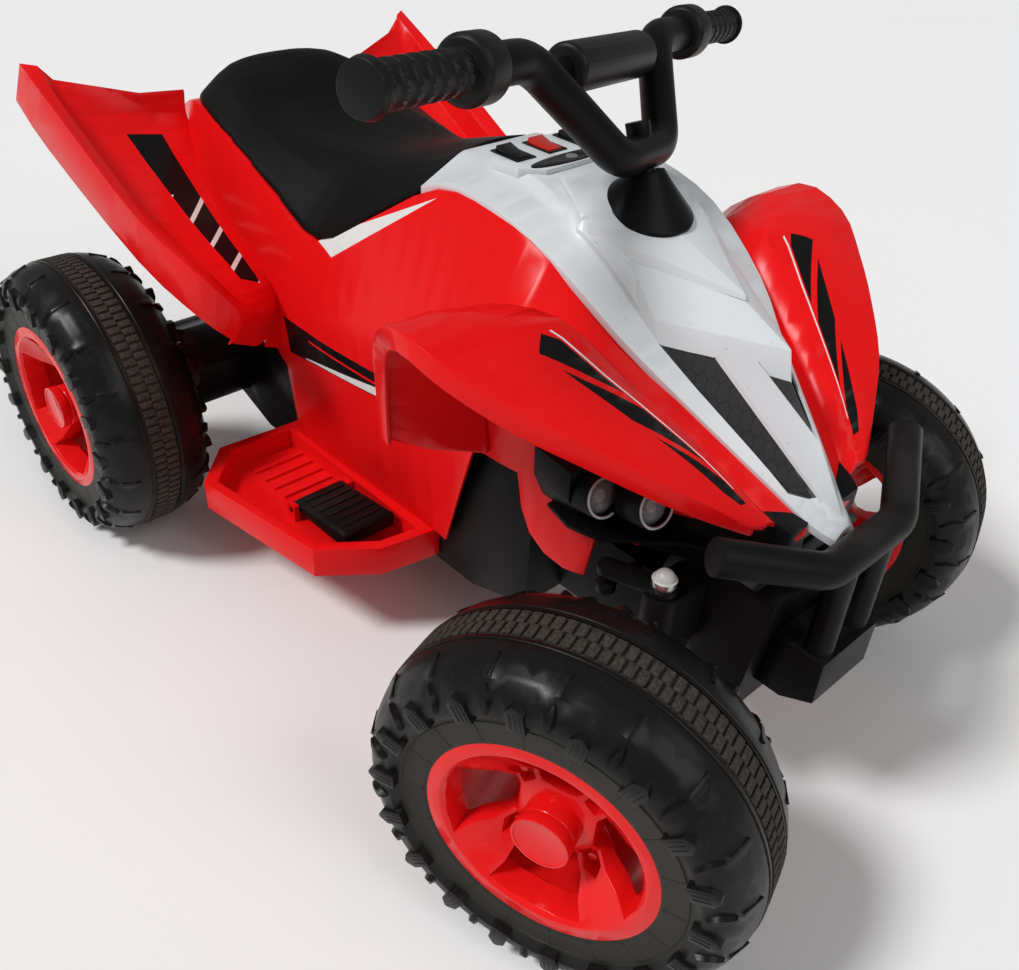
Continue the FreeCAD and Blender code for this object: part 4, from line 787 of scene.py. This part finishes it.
feed(shader, Roughness=grit.between(0.74, 0.94))
feed(shader, Normal=grit.bump(strength=0.5, distance=0.0012))


def turned_about(piece, count):
    """Repeats a piece evenly round the wheel's axis."""
    bpy.ops.object.empty_add()
    turn = bpy.context.object
    turn.rotation_euler = (0, 2 * math.pi / count, 0)
    apply_modifier(piece, "ARRAY", use_relative_offset=False, use_object_offset=True, offset_object=turn,
                   count=count)
    pick(turn)
    bpy.ops.object.delete()


def shaped_block(size, place, edge):
    """A block with rounded edges, at a place in a wheel that turns about Y."""
    bpy.ops.object.select_all(action="DESELECT")
    bpy.ops.mesh.primitive_cube_add(size=1)
    piece = bpy.context.object
    bpy.ops.object.mode_set(mode="EDIT")
    bpy.ops.mesh.select_all(action="SELECT")
    bpy.ops.transform.resize(value=size)
    bpy.ops.mesh.bevel(offset=edge, segments=2, affect="EDGES")
    bpy.ops.mesh.select_all(action="SELECT")
    bpy.ops.transform.translate(value=place)
    bpy.ops.object.mode_set(mode="OBJECT")
    return piece


def joined(pieces):
    """Makes one smooth piece of several."""
    pick(*pieces)
    bpy.ops.object.join()
    smooth(pieces[0])
    return pieces[0]


bars = []
for row_side, row_turn in bar_rows:
    bar = shaped_block(bar_size, (bar_radius, row_side, 0), bar_edge)
    bar.data.transform(Matrix.Rotation(row_turn * 2 * math.pi / bar_count, 4, "Y"))
    turned_about(bar, bar_count)
    bars.append(bar)
bpy.ops.mesh.primitive_cylinder_add(
    vertices=120, radius=band_radius, depth=band_width, end_fill_type="NOTHING", rotation=(math.pi / 2, 0, 0))
band_ring = bpy.context.object
bpy.ops.object.transform_apply(location=False, rotation=True, scale=False)
band = joined(bars + [band_ring])

# The walls of the tyre carry what the mould leaves: raised leaves between the pointed lugs, three fine ribs
# on each lug, seams and a bead on the plain ring round the rim, and a parting line beside the band. The inner
# wall is the outer one mirrored, half a pitch round.
lug_count = 18
half_pitch = math.pi / lug_count
leaf_rows = (
    (0.1165, 0.0553, 0.02), (0.1215, 0.0549, 0.75), (0.1265, 0.0527, 1.0), (0.1310, 0.0502, 0.75),
    (0.1350, 0.0460, 0.02))
leaf_width = 0.0092
leaf_sink = 0.0003
leaf_rise = Vector((0.0020, 0.0036, 0))
leaf_top_shares = (0.88, 1, 0.55)
same_row = 0.001
lug_rib_size = (0.0125, 0.0016, 0.0013)
lug_rib_radius = 0.1175
lug_rib_side = 0.0577
lug_rib_offsets = (-0.0034, 0, 0.0034)
lug_rib_edge = 0.0003
seam_size = (0.0160, 0.0008, 0.0007)
seam_place = (0.0970, 0.0508, 0)
seam_edge = 0.0002
beads = ((0.1060, 0.0508, 0.0007), (0.1457, 0.0172, 0.0008))
last_row = len(leaf_rows) - 1
bpy.ops.object.select_all(action="DESELECT")
bpy.ops.mesh.primitive_grid_add(
    x_subdivisions=last_row, y_subdivisions=2, size=1, rotation=(math.pi / 2, 0, 0))
leaf = bpy.context.object
bpy.ops.object.transform_apply(location=False, rotation=True, scale=False)
for number, (radius, out, width_share) in enumerate(leaf_rows):
    row_x = number / last_row - 0.5
    bpy.ops.object.mode_set(mode="EDIT")
    bpy.ops.mesh.select_all(action="DESELECT")
    bpy.ops.object.mode_set(mode="OBJECT")
    for vertex in leaf.data.vertices:
        vertex.select = abs(vertex.co.x - row_x) < same_row and abs(vertex.co.y) < same_row
    bpy.ops.object.mode_set(mode="EDIT")
    bpy.ops.transform.resize(value=(1, 1, leaf_width * width_share), center_override=(row_x, 0, 0))
    bpy.ops.transform.translate(value=(radius - row_x, out - leaf_sink, 0))
    bpy.ops.object.mode_set(mode="OBJECT")
bpy.ops.object.mode_set(mode="EDIT")
bpy.ops.mesh.select_all(action="SELECT")
bpy.ops.mesh.extrude_region_move(TRANSFORM_OT_translate={"value": leaf_rise})
bpy.ops.transform.resize(value=leaf_top_shares)
bpy.ops.mesh.select_all(action="SELECT")
bpy.ops.mesh.normals_make_consistent(inside=False)
bpy.ops.transform.rotate(value=half_pitch, orient_axis="Y", center_override=(0, 0, 0))
bpy.ops.object.mode_set(mode="OBJECT")
turned_about(leaf, lug_count)
outer_marks = [leaf]
for offset in lug_rib_offsets:
    lug_rib = shaped_block(lug_rib_size, (lug_rib_radius, lug_rib_side, offset), lug_rib_edge)
    turned_about(lug_rib, lug_count)
    outer_marks.append(lug_rib)
seam = shaped_block(seam_size, seam_place, seam_edge)
turned_about(seam, lug_count)
outer_marks.append(seam)
for bead_radius, bead_side, bead_thickness in beads:
    bpy.ops.object.select_all(action="DESELECT")
    bpy.ops.mesh.primitive_torus_add(
        major_segments=96, minor_segments=6, major_radius=bead_radius, minor_radius=bead_thickness,
        location=(0, bead_side, 0), rotation=(math.pi / 2, 0, 0))
    bpy.ops.object.transform_apply(location=True, rotation=True, scale=False)
    outer_marks.append(bpy.context.object)
marks = joined(outer_marks)
inner_marks = bpy.data.objects.new("inner_marks", marks.data.copy())
bpy.context.scene.collection.objects.link(inner_marks)
inner_marks.data.transform(Matrix.Rotation(half_pitch, 4, "Y") @ Matrix.Scale(-1, 4, (0, 1, 0)))
inner_marks.data.flip_normals()
marks = joined([marks, inner_marks])

# The face of the hub cap comes out almost to the plane of the rim. It is red plastic like the rim, with a
# thin edge round a shallow dish, and is pushed on with the cap.
cap_radius = 0.0218
cap_foot = 0.0400
cap_face = 0.0490
cap_middle = (cap_foot + cap_face) / 2
cap_lip = 0.0022
cap_dish = 0.0009
cap_edge = 0.0006
same_plane = 0.0001
bpy.ops.object.select_all(action="DESELECT")
bpy.ops.mesh.primitive_cylinder_add(
    vertices=64, radius=cap_radius, depth=cap_face - cap_foot, location=(0, cap_middle, 0),
    rotation=(math.pi / 2, 0, 0))
cap = bpy.context.object
bpy.ops.object.transform_apply(location=True, rotation=True, scale=False)
bpy.ops.object.mode_set(mode="EDIT")
bpy.ops.mesh.select_mode(type="FACE")
bpy.ops.mesh.select_all(action="DESELECT")
bpy.ops.object.mode_set(mode="OBJECT")
for face in cap.data.polygons:
    face.select = face.center.y > cap_face - same_plane
bpy.ops.object.mode_set(mode="EDIT")
bpy.ops.mesh.inset(thickness=cap_lip)
bpy.ops.mesh.extrude_region_move(TRANSFORM_OT_translate={"value": (0, -cap_dish, 0)})
bpy.ops.mesh.select_mode(type="VERT")
bpy.ops.object.mode_set(mode="OBJECT")
apply_modifier(cap, "BEVEL", width=cap_edge, segments=2, limit_method="ANGLE")
smooth(cap)

# The wheels are put together: tyre, marks and band, then rim and cap. The tyres are black plastic with
# scuffs, greyer and duller on the plain ring. Rims and caps are moulded in red.
ring_end = 0.1195
ring_blend = 0.0020
ring_roughness = 0.14
ring_grey = (0.019, 0.018, 0.013, 1)
tyre_black = (0.006, 0.006, 0.006, 1)
tyre_scuffed = (0.020, 0.019, 0.017, 1)
rim_colour = (0.88, 0.010, 0.011, 1)
rim_red = moulded("rim_red", rim_colour, roughness=0.22, grain=0.06, coat=0.2, gloss=0.15)


def on_wheel(pattern, wheel, name, finish, node=None):
    """Sets a copy of a pattern on a wheel."""
    hub, axis = hubs[wheel]
    piece = bpy.data.objects.new(name, pattern.data.copy())
    bpy.context.scene.collection.objects.link(piece)
    turn = Vector((0, 1, 0)).rotation_difference(axis).to_matrix().to_4x4()
    if wheel.endswith("right"):
        piece.data.transform(Matrix.Scale(-1, 4, (0, 1, 0)))
        piece.data.flip_normals()
    piece.data.transform(Matrix.Translation(hub) @ turn)
    if node:
        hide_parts(node)
    set_finish(piece, finish, wheel + "_wheel")


for wheel, (hub, _) in hubs.items():
    tyre_plastic, shader, place = new_finish(wheel + "_tyre_plastic", Specular_IOR_Level=0.2)
    reach = place.node("ShaderNodeVectorMath", {"operation": "DISTANCE"}, {0: place, 1: hub}, 1)
    ring = 1 - reach.step(ring_end, ring_end + ring_blend)
    scuff = place.noise(scale=260.0, detail=5.0, roughness=0.7)
    black = scuff.step(low=0.55, high=0.8).mix(tyre_black, tyre_scuffed)
    feed(shader, Base_Color=ring.mix(black, ring_grey))
    feed(shader, Roughness=scuff.between(0.26, 0.42) + ring * ring_roughness)
    feed(shader, Normal=place.noise(scale=700.0).bump(strength=0.12, distance=0.0004))
    dress(wheel + "_tyre", tyre_plastic, edge=0.0008, smooth_deg=40)
    on_wheel(marks, wheel, wheel + "_wall_marks", tyre_plastic)
    on_wheel(band, wheel, wheel + "_band_blocks", tread_rubber, wheel + "_tread_band")
    dress(wheel + "_rim", rim_red, edge=0.0008)
    dress(wheel + "_hub_cap", rim_red, edge=0.001)
    on_wheel(cap, wheel, wheel + "_cap_face", rim_red)
pick(band, marks, cap)
bpy.ops.object.delete()
